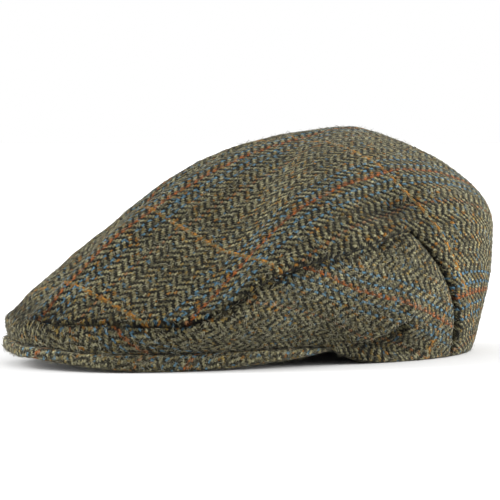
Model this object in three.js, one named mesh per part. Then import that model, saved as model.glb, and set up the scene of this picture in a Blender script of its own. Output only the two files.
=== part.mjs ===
// A soft flat cap that rests on a surface: a one-piece top panel, two side panels that meet over
// the front, and a stiff peak. Millimetres, z up, the front towards -x, the left side towards -y.
import * as THREE from "three";
import { mergeVertices } from "three/addons/utils/BufferGeometryUtils.js";

// Overall sizes, measured from the middle of the head opening.
const CROWN_HEIGHT = 112;
const HALF_WIDTH = 92; // at the widest place, a little in front of the middle
const BACK_REACH = 110; // to the back of the crown
const HEAD_HALF_LENGTH = 100;
const HEAD_HALF_WIDTH = 83;
const SECTION_AXIS = 30; // the sections of the crown fan out from an upright axis this far back

// The cloth stands up a little in a soft point behind the top.
const POINT_BACK = 45;
const POINT_RISE = 3.2;
const POINT_SPREAD = 30;
const POINT_SOFTNESS = 5;

// The right side of the peak, and the cloth on it, curl up from the surface.
const CURL = 5;
const CURL_FROM = 12; // degrees to the right by which the curl is full
const CURL_TO = 26; // and from which it fades
const CURL_END = 58;
const CURL_ABOVE = 0.5; // the shoulder above it follows by this share

// Cloth and seams.
const CLOTH = 2; // tweed with its backing
const SEAM_GAP = 0.34; // left between pieces that meet
const INNER_GAP = SEAM_GAP + 1; // on the inside, where the edges are trimmed back
const SEAM_DIP = 1.3; // how far the cloth turns in at a seam
const SEAM_SPREAD = 3.2; // how wide the turned-in cloth is
const HEM_SQUARE = 9; // above the hem the wall turns upright over this height
const MITRE_RUN = 6; // over this distance from a seam the inner face turns into the mitre
const NORMAL_STEP = 1.1; // spacing of the points that a surface direction is worked out from

// The side panel ends at a seam that runs from the shoulder down and back to the hem.
const CORNER_AZIMUTH = 72;
const HEM_CORNER_AZIMUTH = 99;
const REAR_SEAM_TURN = 1.8; // how early it turns down: 1 would run straight

// Peak.
const PEAK_FRONT = 166; // head centre to the front of the peak
const PEAK_ROUND = 1.7; // rounding of its edge
const PEAK_BOARD = 4; // thickness at its inner side
const PEAK_INSET = 2.6; // how far the edge stands out from the crown above it
const PEAK_END_AZIMUTH = 43.2;
const PEAK_INNER_RISE = 6; // the inner side stands this much above the edge
const PEAK_FLAT_RUN = 10; // where the peak is narrower than this it is level
const PEAK_RISE_RUN = 24; // and over this much more width it comes to rise in full
const PEAK_LEAST_WIDTH = 3;
const PEAK_CLEARANCE = 0.5; // between the hem of the crown and the peak under it
const HEAD_CLEARANCE = 1.5; // from the inner side of the peak to the head opening's edge

// How finely the pieces are divided.
const FRONT_COLUMNS = 48;
const FRONT_CROWDING = 1.2;
const BACK_COLUMNS = 26;
const TOP_RINGS = 15;
const EDGE_SHARE = 0.02; // the last ring's share of the panel, for the turned-in cloth
const SIDE_COLUMNS = FRONT_COLUMNS / 2; // so that the edges along the front seam match
const SIDE_ROWS = 9;

// The crown's sections by azimuth, in degrees from the front. The shoulder is where a section is
// widest: its reach is a share of the plan oval's, its height a share of CROWN_HEIGHT. Roundness
// and fullness shape the cloth above it, and belly is how far the cloth below it swells, a share
// of HALF_WIDTH.
const SECTIONS = [
  { azimuth: 0, reach: 0.9951, height: 0.222, roundness: 2, fullness: 1, belly: 0 },
  { azimuth: 4, reach: 0.9942, height: 0.203, roundness: 1.95, fullness: 1, belly: 0 },
  { azimuth: 8.4, reach: 0.9999, height: 0.205, roundness: 1.85, fullness: 1, belly: 0 },
  { azimuth: 13.2, reach: 1.0212, height: 0.208, roundness: 1.78, fullness: 1, belly: 0 },
  { azimuth: 17.7, reach: 1.0447, height: 0.199, roundness: 1.76, fullness: 1, belly: 0 },
  { azimuth: 23.2, reach: 1.0744, height: 0.201, roundness: 1.76, fullness: 0.98, belly: 0.004 },
  { azimuth: 28.1, reach: 1.0969, height: 0.246, roundness: 1.78, fullness: 0.93, belly: 0.008 },
  { azimuth: 33.1, reach: 1.1077, height: 0.331, roundness: 1.8, fullness: 0.86, belly: 0.012 },
  { azimuth: 37.6, reach: 1.1061, height: 0.398, roundness: 1.85, fullness: 0.8, belly: 0.015 },
  { azimuth: 44.8, reach: 1.0833, height: 0.45, roundness: 1.95, fullness: 0.72, belly: 0.02 },
  { azimuth: 55.5, reach: 1.0539, height: 0.499, roundness: 2.05, fullness: 0.64, belly: 0.02 },
  { azimuth: 72, reach: 1.0121, height: 0.568, roundness: 2.05, fullness: 0.58, belly: 0.02 },
  { azimuth: 90, reach: 0.97, height: 0.568, roundness: 1.9, fullness: 0.56, belly: 0.01 },
  { azimuth: 110, reach: 0.9423, height: 0.568, roundness: 1.78, fullness: 0.55, belly: 0 },
  { azimuth: 134, reach: 0.9567, height: 0.56, roundness: 1.74, fullness: 0.54, belly: 0 },
  { azimuth: 157, reach: 0.9862, height: 0.55, roundness: 1.74, fullness: 0.53, belly: 0 },
  { azimuth: 180, reach: 0.9982, height: 0.54, roundness: 1.78, fullness: 0.52, belly: 0 },
];

// The peak's edge by azimuth: its reach is a share of the plan oval's.
const PEAK_OUTLINE = [
  { azimuth: 0, reach: 1 },
  { azimuth: 4, reach: 0.9975 },
  { azimuth: 10, reach: 1.0099 },
  { azimuth: 14.4, reach: 1.0218 },
  { azimuth: 19.5, reach: 1.0115 },
  { azimuth: 27, reach: 0.9915 },
  { azimuth: 35.2, reach: 0.961 },
  { azimuth: 39.6, reach: 0.9415 },
  { azimuth: 45.6, reach: 0.918 },
];

// Height of the crown's hem by azimuth, a share of CROWN_HEIGHT: on the peak, then over the arch
// behind the corner of the peak, then on the surface it rests on.
const HEM_HEIGHTS = [
  { azimuth: 0, height: 0.101 },
  { azimuth: 4, height: 0.095 },
  { azimuth: 8, height: 0.082 },
  { azimuth: 14, height: 0.077 },
  { azimuth: 23, height: 0.076 },
  { azimuth: 30, height: 0.081 },
  { azimuth: 39, height: 0.083 },
  { azimuth: 45, height: 0.079 },
  { azimuth: 47.4, height: 0.066 },
  { azimuth: 49.1, height: 0.049 },
  { azimuth: 52.2, height: 0.029 },
  { azimuth: 54.8, height: 0.016 },
  { azimuth: 58.4, height: 0.008 },
  { azimuth: 64, height: 0 },
  { azimuth: 180, height: 0 },
];

// Height of the underside of the peak's edge, a share of CROWN_HEIGHT.
const PEAK_UNDERSIDE = [
  { azimuth: 0, height: 0.049 },
  { azimuth: 4, height: 0.039 },
  { azimuth: 10, height: 0.019 },
  { azimuth: 14.4, height: 0.008 },
  { azimuth: 19.5, height: 0 },
  { azimuth: 27, height: 0.008 },
  { azimuth: 35, height: 0.028 },
  { azimuth: 39.6, height: 0.038 },
  { azimuth: 45.6, height: 0.052 },
];

// Dents (depth below 0) and swellings. Azimuth is in degrees from the front, minus to the left.
// Place runs from 0 at the top to 1 at the shoulder and 2 at the hem. Depth is a share of
// CROWN_HEIGHT.
const DENTS = [
  { azimuth: -66, place: 0.74, wide: 9, tall: 0.13, depth: -0.0375 },
  { azimuth: -19, place: 0.72, wide: 11, tall: 0.16, depth: -0.0196 },
  { azimuth: 2.2, place: 0.9, wide: 2.8, tall: 0.09, depth: -0.0286 },
  { azimuth: -3, place: 0.82, wide: 2.6, tall: 0.14, depth: 0.0161 },
  { azimuth: -66, place: 1.93, wide: 13, tall: 0.13, depth: -0.058 },
  { azimuth: -68, place: 1.6, wide: 12, tall: 0.22, depth: 0.0143 },
  { azimuth: -40, place: 1.3, wide: 3, tall: 0.2, depth: -0.0098 },
  { azimuth: 66, place: 1.93, wide: 13, tall: 0.13, depth: -0.0446 },
  { azimuth: 31, place: 0.87, wide: 18.5, tall: 0.22, depth: -0.06 },
  { azimuth: 25.3, place: 0.68, wide: 15.9, tall: 0.15, depth: -0.044 },
  { azimuth: 150, place: 0.95, wide: 12, tall: 0.2, depth: -0.0143 },
  { azimuth: -138, place: 1.5, wide: 10, tall: 0.25, depth: -0.0161 },
];

const DEGREE = Math.PI / 180;
const clamp01 = (t) => Math.min(1, Math.max(0, t));
const easeInOut = (t) => clamp01(t) ** 2 * (3 - 2 * clamp01(t));
const mix = (a, b, t) => a + (b - a) * t;

// A smooth, unchanging-in-order curve through one column of a table, the same on both sides.
function column(table, name) {
  const x = table.map((row) => row.azimuth);
  const y = table.map((row) => row[name]);
  const last = x.length - 1;
  const rise = x.slice(0, last).map((_, i) => (y[i + 1] - y[i]) / (x[i + 1] - x[i]));
  const slope = x.map((_, i) => {
    if (i === 0 || i === last || rise[i - 1] * rise[i] <= 0) return 0;
    return (2 * rise[i - 1] * rise[i]) / (rise[i - 1] + rise[i]);
  });
  return (azimuth) => {
    const a = Math.min(Math.abs(azimuth), x[last]);
    let i = 0;
    while (i < last - 1 && a > x[i + 1]) i++;
    const span = x[i + 1] - x[i];
    const t = (a - x[i]) / span;
    const ease = t * t * (3 - 2 * t);
    const near = t * (1 - t) * (1 - t);
    const far = t * t * (t - 1);
    return mix(y[i], y[i + 1], ease) + span * (near * slope[i] + far * slope[i + 1]);
  };
}

const shoulderReach = column(SECTIONS, "reach");
const shoulderHeight = column(SECTIONS, "height");
const roundness = column(SECTIONS, "roundness");
const fullness = column(SECTIONS, "fullness");
const belly = column(SECTIONS, "belly");
const peakReach = column(PEAK_OUTLINE, "reach");
const hemHeight = column(HEM_HEIGHTS, "height");
const peakUnderside = column(PEAK_UNDERSIDE, "height");

// The point at an azimuth, a distance out from the axis and a height.
function at(azimuth, reach, height) {
  const a = azimuth * DEGREE;
  return new THREE.Vector3(SECTION_AXIS - reach * Math.cos(a), reach * Math.sin(a), height);
}

// Distance from the axis to the plan oval: half ovals that reach to the front of the peak, to the
// back of the crown and to its sides. The shoulder and the peak's edge are shares of it.
function planReach(azimuth) {
  const a = azimuth * DEGREE;
  const along = Math.cos(a) > 0 ? PEAK_FRONT + SECTION_AXIS : BACK_REACH - SECTION_AXIS;
  return 1 / Math.hypot(Math.cos(a) / along, Math.sin(a) / HALF_WIDTH);
}

// Distance from the axis to the edge of the head opening.
function headReach(azimuth) {
  const c = Math.cos(azimuth * DEGREE) / HEAD_HALF_LENGTH;
  const s = Math.sin(azimuth * DEGREE) / HEAD_HALF_WIDTH;
  const o = SECTION_AXIS / HEAD_HALF_LENGTH;
  const square = c * c + s * s;
  return (c * o + Math.sqrt(c * c * o * o + square * (1 - o * o))) / square;
}

const peakEdgeReach = (azimuth) => planReach(azimuth) * peakReach(azimuth);

// The hem follows the peak's edge in front and the head opening behind.
function hemReach(azimuth) {
  const a = Math.abs(azimuth);
  const join = PEAK_OUTLINE[PEAK_OUTLINE.length - 1].azimuth;
  const onPeak = peakEdgeReach(azimuth) - PEAK_INSET;
  const blend = easeInOut((a - join + 3) / 6);
  return a < join + 3 ? mix(onPeak, headReach(azimuth), blend) : headReach(azimuth);
}

// How far the right side curls up at an azimuth.
function curl(azimuth) {
  const fade = easeInOut((azimuth - CURL_TO) / (CURL_END - CURL_TO));
  return CURL * easeInOut(azimuth / CURL_FROM) * (1 - fade);
}

// Moves a point up by the soft point behind the top.
function raised(p) {
  const far = Math.hypot(p.x - POINT_BACK, p.y, POINT_SOFTNESS) - POINT_SOFTNESS;
  const high = easeInOut(p.z / CROWN_HEIGHT);
  return p.setZ(p.z + POINT_RISE * high * Math.exp(-far / POINT_SPREAD));
}

// The crown before its dents: place 0 is the top, 1 the shoulder and 2 the hem.
function crownBase(azimuth, place) {
  const reach = planReach(azimuth) * shoulderReach(azimuth);
  const height = CROWN_HEIGHT * shoulderHeight(azimuth) + curl(azimuth) * CURL_ABOVE;
  if (place <= 1) {
    const full = fullness(azimuth);
    const turn = (Math.PI / 2) * (1 - (1 - Math.max(place, 0)) ** (0.5 / full));
    const out = reach * Math.sin(turn) ** (2 / roundness(azimuth));
    const up = (CROWN_HEIGHT - height) * (Math.cos(turn) ** 2) ** full;
    return raised(at(azimuth, out, height + up));
  }
  const t = place - 1;
  const hemOut = hemReach(azimuth);
  const hemUp = CROWN_HEIGHT * hemHeight(azimuth) + curl(azimuth);
  const swell = 4 * t * (1 - t) * belly(azimuth) * HALF_WIDTH;
  const out = mix(reach, hemOut, t * t) + swell;
  return raised(at(azimuth, out, mix(height, hemUp, t)));
}

// Moves a place along the cloth by a length in millimetres.
function moved(azimuth, place, length) {
  const shoulder = crownBase(azimuth, 1);
  const above = shoulder.distanceTo(crownBase(azimuth, 0));
  const below = shoulder.distanceTo(crownBase(azimuth, 2));
  const run = (place - 1) * (place < 1 ? above : below) + length;
  return Math.min(2, Math.max(0, 1 + run / (run < 0 ? above : below)));
}

// The outward direction of a surface, taken across seams so that two edges that meet agree.
function direction(surface, azimuth, place) {
  const p = surface(azimuth, place);
  const reach = Math.hypot(p.x - SECTION_AXIS, p.y);
  if (reach < NORMAL_STEP) return new THREE.Vector3(0, 0, 1);
  const turn = NORMAL_STEP / reach / DEGREE;
  const along = surface(azimuth + turn, place).sub(surface(azimuth - turn, place));
  const lower = surface(azimuth, moved(azimuth, place, NORMAL_STEP));
  const upper = surface(azimuth, moved(azimuth, place, -NORMAL_STEP));
  return along.cross(lower.sub(upper)).normalize();
}

// Signed difference between two azimuths, the short way round.
const turned = (a, b) => ((((a - b + 180) % 360) + 360) % 360) - 180;

function dentDepth(azimuth, place) {
  return DENTS.reduce((sum, dent) => {
    const a = turned(azimuth, dent.azimuth) / dent.wide;
    const b = (place - dent.place) / dent.tall;
    return sum + CROWN_HEIGHT * dent.depth * Math.exp(-a * a - b * b);
  }, 0);
}

// The azimuth of the rear seam at a place between the shoulder and the hem.
function rearSeam(place) {
  const t = 1 - (1 - clamp01(place - 1)) ** REAR_SEAM_TURN;
  return mix(CORNER_AZIMUTH, HEM_CORNER_AZIMUTH, t);
}

// Distance square to the rear seam for each unit round the crown: less where the seam leans.
function rearSeamLean(place) {
  const step = 0.01;
  const t = Math.min(2 - step, Math.max(1 + step, place));
  const across = (rearSeam(t + step) - rearSeam(t - step)) * DEGREE * HALF_WIDTH;
  const down = crownBase(HEM_CORNER_AZIMUTH, t + step).distanceTo(
    crownBase(HEM_CORNER_AZIMUTH, t - step),
  );
  return down / Math.hypot(across, down);
}

// Half a gap at the rear seam, as degrees round the crown.
const gapAzimuth = (place, gap) => gap / 2 / rearSeamLean(place) / HALF_WIDTH / DEGREE;

// How far along the cloth a point is from the nearest seam.
function seamDistance(azimuth, place) {
  const a = Math.abs(azimuth);
  const p = crownBase(azimuth, place);
  const reach = Math.hypot(p.x - SECTION_AXIS, p.y);
  const edge = crownBase(a, 1);
  const front = a <= CORNER_AZIMUTH ? p.distanceTo(edge.setY(Math.sign(azimuth) * edge.y)) : Infinity;
  const middle = place >= 1 && a < CORNER_AZIMUTH ? Math.abs(p.y) : Infinity;
  const aside = Math.abs(a - rearSeam(place)) * DEGREE * reach;
  const rear = place >= 1 ? aside * rearSeamLean(place) : Infinity;
  return Math.min(front, middle, rear);
}

// The place on a seam for a point at the edge of a piece, so that pieces that meet are mitred.
function onSeam(azimuth, place) {
  const side = Math.sign(azimuth);
  const p = crownBase(azimuth, place);
  const near = (a, t) => p.distanceTo(crownBase(a, t)) < INNER_GAP;
  let [a, t] = [azimuth, place];
  if (place >= 1 && near(0, place)) a = 0;
  if (place >= 1 && near(side * rearSeam(place), place)) a = side * rearSeam(place);
  if (Math.abs(azimuth) <= CORNER_AZIMUTH && near(azimuth, 1)) t = 1;
  return [a, t];
}

// The finished outer face of the crown.
function crown(azimuth, place) {
  const [a, t] = onSeam(azimuth, place);
  const fadeTop = easeInOut(t / 0.25);
  const dip = SEAM_DIP * Math.exp(-((seamDistance(a, t) / SEAM_SPREAD) ** 2));
  const hold = easeInOut((2 - t) / 0.06);
  const move = (dentDepth(a, t) * fadeTop - dip) * hold;
  return crownBase(azimuth, place).addScaledVector(direction(crownBase, a, t), move);
}

// The inner face lies a cloth's thickness inside, level with the outer face at the hem.
function crownInside(azimuth, place) {
  const p = crown(azimuth, place);
  const [a, t] = onSeam(azimuth, place);
  const atSeam = a !== azimuth || t !== place;
  const n = atSeam ? direction(crownBase, a, t) : direction(crown, a, t);
  if (!atSeam && Math.abs(azimuth) <= CORNER_AZIMUTH) {
    const away = p.distanceTo(crown(azimuth, 1)) / MITRE_RUN;
    n.lerp(direction(crownBase, azimuth, 1), 1 - easeInOut(away)).normalize();
  }
  const flat = new THREE.Vector3(n.x, n.y, 0).normalize();
  const above = p.z - crownBase(azimuth, 2).z;
  const square = place > 1 ? 1 - easeInOut(above / HEM_SQUARE) : 0;
  return p.addScaledVector(n.lerp(flat, square).normalize(), -CLOTH);
}

// Puts a triangle list together from rows of points, with every row the same length.
class Shell {
  constructor() {
    this.points = [];
  }
  triangle(a, b, c) {
    const close = 1e-4;
    if (a.distanceTo(b) < close || b.distanceTo(c) < close || c.distanceTo(a) < close) return;
    this.points.push(a, b, c);
  }
  quad(a, b, c, d) {
    this.triangle(a, b, c);
    this.triangle(a, c, d);
  }
  // Rows of points joined into a face. Crossed cuts each cell along its other diagonal.
  sheet(rows, crossed = false) {
    for (let i = 0; i + 1 < rows.length; i++)
      for (let j = 0; j + 1 < rows[i].length; j++) {
        const [a, b, c, d] = [rows[i][j], rows[i + 1][j], rows[i + 1][j + 1], rows[i][j + 1]];
        if (crossed) this.quad(b, c, d, a);
        else this.quad(a, b, c, d);
      }
  }
  geometry() {
    const g = new THREE.BufferGeometry().setFromPoints(this.points);
    const merged = mergeVertices(g, 1e-4);
    merged.computeVertexNormals();
    return merged;
  }
}

// A closed body from two matching grids: the outer face, the inner face, and the edges. A grid
// that goes right round to where it began has no edges at its ends. Edges that face each other
// across a seam are cut along the same diagonals, so that the gap between them stays even.
function slab(outer, inner, { allRound = false, crossedStart = true } = {}) {
  const shell = new Shell();
  shell.sheet(outer);
  shell.sheet(inner.slice().reverse());
  const last = outer.length - 1;
  const end = outer[0].length - 1;
  const edge = (grid, j) => grid.map((row) => row[j]);
  if (!allRound) {
    shell.sheet([inner[0], outer[0]], crossedStart);
    shell.sheet([outer[last], inner[last]], true);
    shell.sheet([edge(outer, 0), edge(inner, 0)], true);
  }
  shell.sheet([edge(inner, end), edge(outer, end)]);
  return shell.geometry();
}

// Evenly spaced steps from 0 to 1, with a closer one at each named end for the turned-in cloth.
function steps(count, share) {
  const list = [];
  for (let i = 0; i <= count; i++) list.push(i / count);
  return share > 0 ? [...list.slice(0, -1), 1 - share, 1] : list;
}

const run = (from, to, count) => steps(count, 0).map((t) => mix(from, to, t));

// Azimuths over the front, closer together where the crown reaches far forward.
const frontAzimuth = (t) => CORNER_AZIMUTH * Math.sign(t) * Math.abs(t) ** FRONT_CROWDING;

// The lowest place of the top panel at an azimuth.
function topPanelEdge(azimuth, gap) {
  const a = Math.abs(turned(azimuth, 0));
  if (a <= CORNER_AZIMUTH) return moved(azimuth, 1, -gap / 2);
  let [low, high] = [1, 2];
  for (let i = 0; i < 30; i++) {
    const middle = (low + high) / 2;
    if (rearSeam(middle) + gapAzimuth(middle, gap) < a) low = middle;
    else high = middle;
  }
  return high > 1.9999 ? 2 : high;
}

function topPanel() {
  const places = run(1, 2, SIDE_ROWS);
  const grid = (surface, gap) => {
    const corner = places.map((place) => rearSeam(place) + gapAzimuth(place, gap));
    const hemCorner = corner[SIDE_ROWS];
    const azimuths = [
      ...corner.map((a) => -a).reverse(),
      ...run(-1, 1, FRONT_COLUMNS).map(frontAzimuth),
      ...corner.slice(0, -1),
      ...run(hemCorner, 360 - hemCorner, BACK_COLUMNS),
    ];
    return azimuths.map((a) => {
      const azimuth = turned(a, 0);
      const edge = topPanelEdge(azimuth, gap);
      return steps(TOP_RINGS, EDGE_SHARE).map((t) => surface(azimuth, t * edge));
    });
  };
  return slab(grid(crown, SEAM_GAP), grid(crownInside, INNER_GAP), { allRound: true });
}

// One side panel, on the left for side -1 and on the right for side 1.
function sidePanel(side) {
  const columns = steps(SIDE_COLUMNS, 0);
  const rows = steps(SIDE_ROWS, 0);
  const ordered = side > 0 ? columns : columns.slice().reverse();
  const grid = (surface, gap) =>
    ordered.map((u) =>
      rows.map((w) => {
        const far = frontAzimuth(u);
        const place = mix(moved(far, 1, gap / 2), 2, w);
        const start = gap / 2 / (SECTION_AXIS - crownBase(0, place).x) / DEGREE;
        const share = far / CORNER_AZIMUTH;
        const azimuth = side * mix(start, rearSeam(place) - gapAzimuth(place, gap), share);
        return surface(azimuth, place);
      }),
    );
  const faces = [grid(crown, SEAM_GAP), grid(crownInside, INNER_GAP)];
  return slab(...faces, { crossedStart: side < 0 });
}

// The outline of the peak's section at an azimuth, round from the inner side over the top.
function peakSection(azimuth) {
  const edge = peakEdgeReach(azimuth);
  const inner = Math.min(headReach(azimuth) + HEAD_CLEARANCE, edge - PEAK_LEAST_WIDTH);
  const width = edge - inner;
  const top = crownBase(azimuth, 2).z - PEAK_CLEARANCE;
  const bottom = CROWN_HEIGHT * peakUnderside(azimuth) + curl(azimuth);
  const rise = PEAK_INNER_RISE * easeInOut((width - PEAK_FLAT_RUN) / PEAK_RISE_RUN);
  const back = (length, least) => edge - Math.min(length, least * width);
  const level = back(PEAK_INSET + CLOTH + PEAK_ROUND, 0.7);
  const middle = (inner + level) / 2;
  const height = top - bottom;
  const innerBottom = top + rise - Math.min(PEAK_BOARD, height * 0.8);
  return [
    [inner, top + rise],
    [middle, top + rise * 0.55],
    [level, top],
    [back(PEAK_ROUND, 0.4), top],
    [back(PEAK_ROUND * 0.3, 0.1), top - height * 0.2],
    [edge, top - height * 0.5],
    [back(PEAK_ROUND * 0.3, 0.1), top - height * 0.8],
    [back(PEAK_ROUND, 0.4), bottom],
    [middle, mix(innerBottom, bottom, 0.55)],
    [inner, innerBottom],
  ].map(([reach, up]) => at(azimuth, reach, up));
}

function peak() {
  const onPeak = run(-1, 1, FRONT_COLUMNS)
    .map(frontAzimuth)
    .filter((a) => Math.abs(a) < PEAK_END_AZIMUTH - 1);
  const sections = [-PEAK_END_AZIMUTH, ...onPeak, PEAK_END_AZIMUTH].map(peakSection);
  const shell = new Shell();
  shell.sheet(sections.map((s) => [...s, s[0]]));
  const [first, last] = [sections[0], sections[sections.length - 1]];
  for (let i = 1; i + 1 < first.length; i++) {
    shell.triangle(first[0], first[i], first[i + 1]);
    shell.triangle(last[0], last[i + 1], last[i]);
  }
  return shell.geometry();
}

function piece(name, geometry, colour) {
  const material = new THREE.MeshStandardMaterial({ color: colour, roughness: 0.95, metalness: 0 });
  const mesh = new THREE.Mesh(geometry, material);
  mesh.name = name;
  return mesh;
}

const cap = new THREE.Group();
cap.name = "flat_cap";
cap.add(
  piece("crown_top", topPanel(), "#6b675a"),
  piece("side_panel_left", sidePanel(-1), "#625e50"),
  piece("side_panel_right", sidePanel(1), "#625e50"),
  piece("peak", peak(), "#59564a"),
);

// The middle of the footprint stands at the origin.
const box = new THREE.Box3().setFromObject(cap);
const middle = box.getCenter(new THREE.Vector3());
for (const mesh of cap.children) mesh.geometry.translate(-middle.x, -middle.y, -box.min.z);

export default cap;
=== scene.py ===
"""A tweed flat cap, cut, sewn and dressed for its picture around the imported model.

Lengths in the tables are millimetres and turn into metres where a mesh is made. The front of the cap
points to -x, the wearer's right to +y. A point of the crown is named by its azimuth, in degrees from
the front (minus on the wearer's left), and its place: 0 at the top, 1 at the shoulder, 2 at the hem.
"""

from __future__ import annotations

import logging
import math
from dataclasses import dataclass
from enum import Enum
from typing import Callable, Sequence

import bmesh
import bpy
import numpy as np
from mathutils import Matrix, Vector, kdtree

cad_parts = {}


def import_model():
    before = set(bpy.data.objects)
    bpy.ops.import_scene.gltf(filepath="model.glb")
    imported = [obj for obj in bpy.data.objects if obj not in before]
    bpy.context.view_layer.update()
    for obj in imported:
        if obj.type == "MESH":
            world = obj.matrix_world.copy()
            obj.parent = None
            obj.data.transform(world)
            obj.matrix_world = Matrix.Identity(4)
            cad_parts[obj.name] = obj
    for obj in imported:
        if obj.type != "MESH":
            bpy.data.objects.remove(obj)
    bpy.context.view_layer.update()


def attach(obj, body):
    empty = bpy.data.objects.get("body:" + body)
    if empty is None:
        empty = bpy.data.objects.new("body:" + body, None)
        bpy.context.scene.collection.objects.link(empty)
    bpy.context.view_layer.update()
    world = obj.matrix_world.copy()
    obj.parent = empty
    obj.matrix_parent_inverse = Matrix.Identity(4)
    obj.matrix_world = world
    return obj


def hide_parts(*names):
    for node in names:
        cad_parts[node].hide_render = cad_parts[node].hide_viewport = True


LOG = logging.getLogger("flat_cap")
MM = 0.001

# Names that the pieces and their materials share
PATTERN = "pattern"
# The painted shade of seams, folds and hollows, kept on each piece's mesh; it darkens the cloth's
# colour
SHADE = "shade"
TINT = "tint"

Array = np.ndarray
Surface = Callable[[Array, Array], Array]
Socket = bpy.types.NodeSocket
Colour = tuple[float, float, float]


@dataclass(frozen=True)
class CapSizes:
    """Sizes of the cap in millimetres, measured from the middle of the head opening."""

    crown_height: float = 112.0
    half_width: float = 92.0
    back_reach: float = 110.0
    head_half_length: float = 100.0
    head_half_width: float = 83.0
    section_axis: float = 30.0
    point_back: float = 45.0
    point_rise: float = 3.2
    point_spread: float = 30.0
    point_softness: float = 5.0
    curl: float = 5.0
    curl_from: float = 12.0
    curl_to: float = 26.0
    curl_end: float = 58.0
    curl_above: float = 0.5
    cloth: float = 2.0
    corner_azimuth: float = 72.0
    hem_corner_azimuth: float = 99.0
    rear_seam_turn: float = 1.8
    peak_front: float = 166.0
    peak_inset: float = 2.6
    peak_board: float = 4.0
    peak_inner_rise: float = 6.0
    peak_flat_run: float = 10.0
    peak_rise_run: float = 24.0
    peak_least_width: float = 3.0
    head_clearance: float = 1.5
    rim_back: float = 28.095
    rim_aside: float = 0.07


@dataclass(frozen=True)
class Section:
    """One upright section of the crown: shares of the plan oval's reach and of the height."""

    azimuth: float
    reach: float
    height: float
    roundness: float
    fullness: float
    belly: float


@dataclass(frozen=True)
class Level:
    """One share at an azimuth."""

    azimuth: float
    share: float


@dataclass(frozen=True)
class Dent:
    """A dent (depth below 0) or a swelling; its depth is a share of the crown's height."""

    azimuth: float
    place: float
    wide: float
    tall: float
    depth: float


SECTIONS = (
    Section(0, 0.9951, 0.222, 2.00, 1.00, 0.000),
    Section(4, 0.9942, 0.203, 1.95, 1.00, 0.000),
    Section(8.4, 0.9999, 0.205, 1.85, 1.00, 0.000),
    Section(13.2, 1.0212, 0.208, 1.78, 1.00, 0.000),
    Section(17.7, 1.0447, 0.199, 1.76, 1.00, 0.000),
    Section(23.2, 1.0744, 0.201, 1.76, 0.98, 0.004),
    Section(28.1, 1.0969, 0.246, 1.78, 0.93, 0.008),
    Section(33.1, 1.1077, 0.331, 1.80, 0.86, 0.012),
    Section(37.6, 1.1061, 0.398, 1.85, 0.80, 0.015),
    Section(44.8, 1.0833, 0.450, 1.95, 0.72, 0.020),
    Section(55.5, 1.0539, 0.499, 2.05, 0.64, 0.020),
    Section(72, 1.0121, 0.568, 2.05, 0.58, 0.020),
    Section(90, 0.9700, 0.568, 1.90, 0.56, 0.010),
    Section(110, 0.9423, 0.568, 1.78, 0.55, 0.000),
    Section(134, 0.9567, 0.560, 1.74, 0.54, 0.000),
    Section(157, 0.9862, 0.550, 1.74, 0.53, 0.000),
    Section(180, 0.9982, 0.540, 1.78, 0.52, 0.000),
)

PEAK_OUTLINE = (
    Level(0, 1.0),
    Level(4, 0.9975),
    Level(10, 1.0099),
    Level(14.4, 1.0218),
    Level(19.5, 1.0115),
    Level(27, 0.9915),
    Level(35.2, 0.961),
    Level(39.6, 0.9415),
    Level(45.6, 0.918),
)

HEM_HEIGHTS = (
    Level(0, 0.101),
    Level(4, 0.095),
    Level(8, 0.082),
    Level(14, 0.077),
    Level(23, 0.076),
    Level(30, 0.081),
    Level(39, 0.083),
    Level(45, 0.079),
    Level(47.4, 0.066),
    Level(49.1, 0.049),
    Level(52.2, 0.029),
    Level(54.8, 0.016),
    Level(58.4, 0.008),
    Level(64, 0.0),
    Level(180, 0.0),
)

PEAK_UNDERSIDE = (
    Level(0, 0.049),
    Level(4, 0.039),
    Level(10, 0.019),
    Level(14.4, 0.008),
    Level(19.5, 0.0),
    Level(27, 0.008),
    Level(35, 0.028),
    Level(39.6, 0.038),
    Level(45.6, 0.052),
)

DENTS = (
    Dent(-66, 0.74, 9, 0.13, -0.0375),
    Dent(-19, 0.72, 11, 0.16, -0.0196),
    Dent(2.2, 0.90, 2.8, 0.09, -0.0286),
    Dent(-3, 0.82, 2.6, 0.14, 0.0161),
    Dent(-66, 1.93, 13, 0.13, -0.058),
    Dent(-68, 1.60, 12, 0.22, 0.0143),
    Dent(-40, 1.30, 3, 0.20, -0.0098),
    Dent(66, 1.93, 13, 0.13, -0.0446),
    Dent(31, 0.87, 18.5, 0.22, -0.06),
    Dent(25.3, 0.68, 15.9, 0.15, -0.044),
    Dent(150, 0.95, 12, 0.20, -0.0143),
    Dent(-138, 1.50, 10, 0.25, -0.0161),
)


@dataclass(frozen=True)
class Mark:
    """A point on the crown, by azimuth and place."""

    azimuth: float
    place: float


@dataclass(frozen=True)
class Tuck:
    """The fold low on the left side, with the painted shade along it and the painted gloom under it;
    lengths in millimetres, azimuths in degrees.
    """

    swell: float = 3.4
    swell_from: float = 2.0
    swell_to: float = 8.0
    dip: float = 4.6
    dip_above: float = 1.0
    dip_below: float = 6.0
    # Darkness and reaches of the painted shade along the fold, and of the painted gloom under it
    shade: float = 0.90
    shade_above: float = 1.3
    shade_below: float = 6.0
    gloom: float = 0.62
    gloom_below: float = 12.0
    end_run: float = 3.0


@dataclass(frozen=True)
class SoftCorner:
    """The corner that the cloth stands up in behind the top, in millimetres."""

    rise: float = 1.5
    from_height: float = 80.0
    height_run: float = 20.0
    softness: float = 3.0
    spread: float = 9.0


@dataclass(frozen=True)
class SeamLook:
    """How one side of a lapped seam stands, and the painted shade along it: deep is a dark narrow band
    of it and soft a wide faint one; widths in millimetres.
    """

    rise: float
    rise_from: float
    deep: tuple[float, float]
    deep_width: tuple[float, float]
    soft: tuple[float, float]
    soft_width: float


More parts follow.
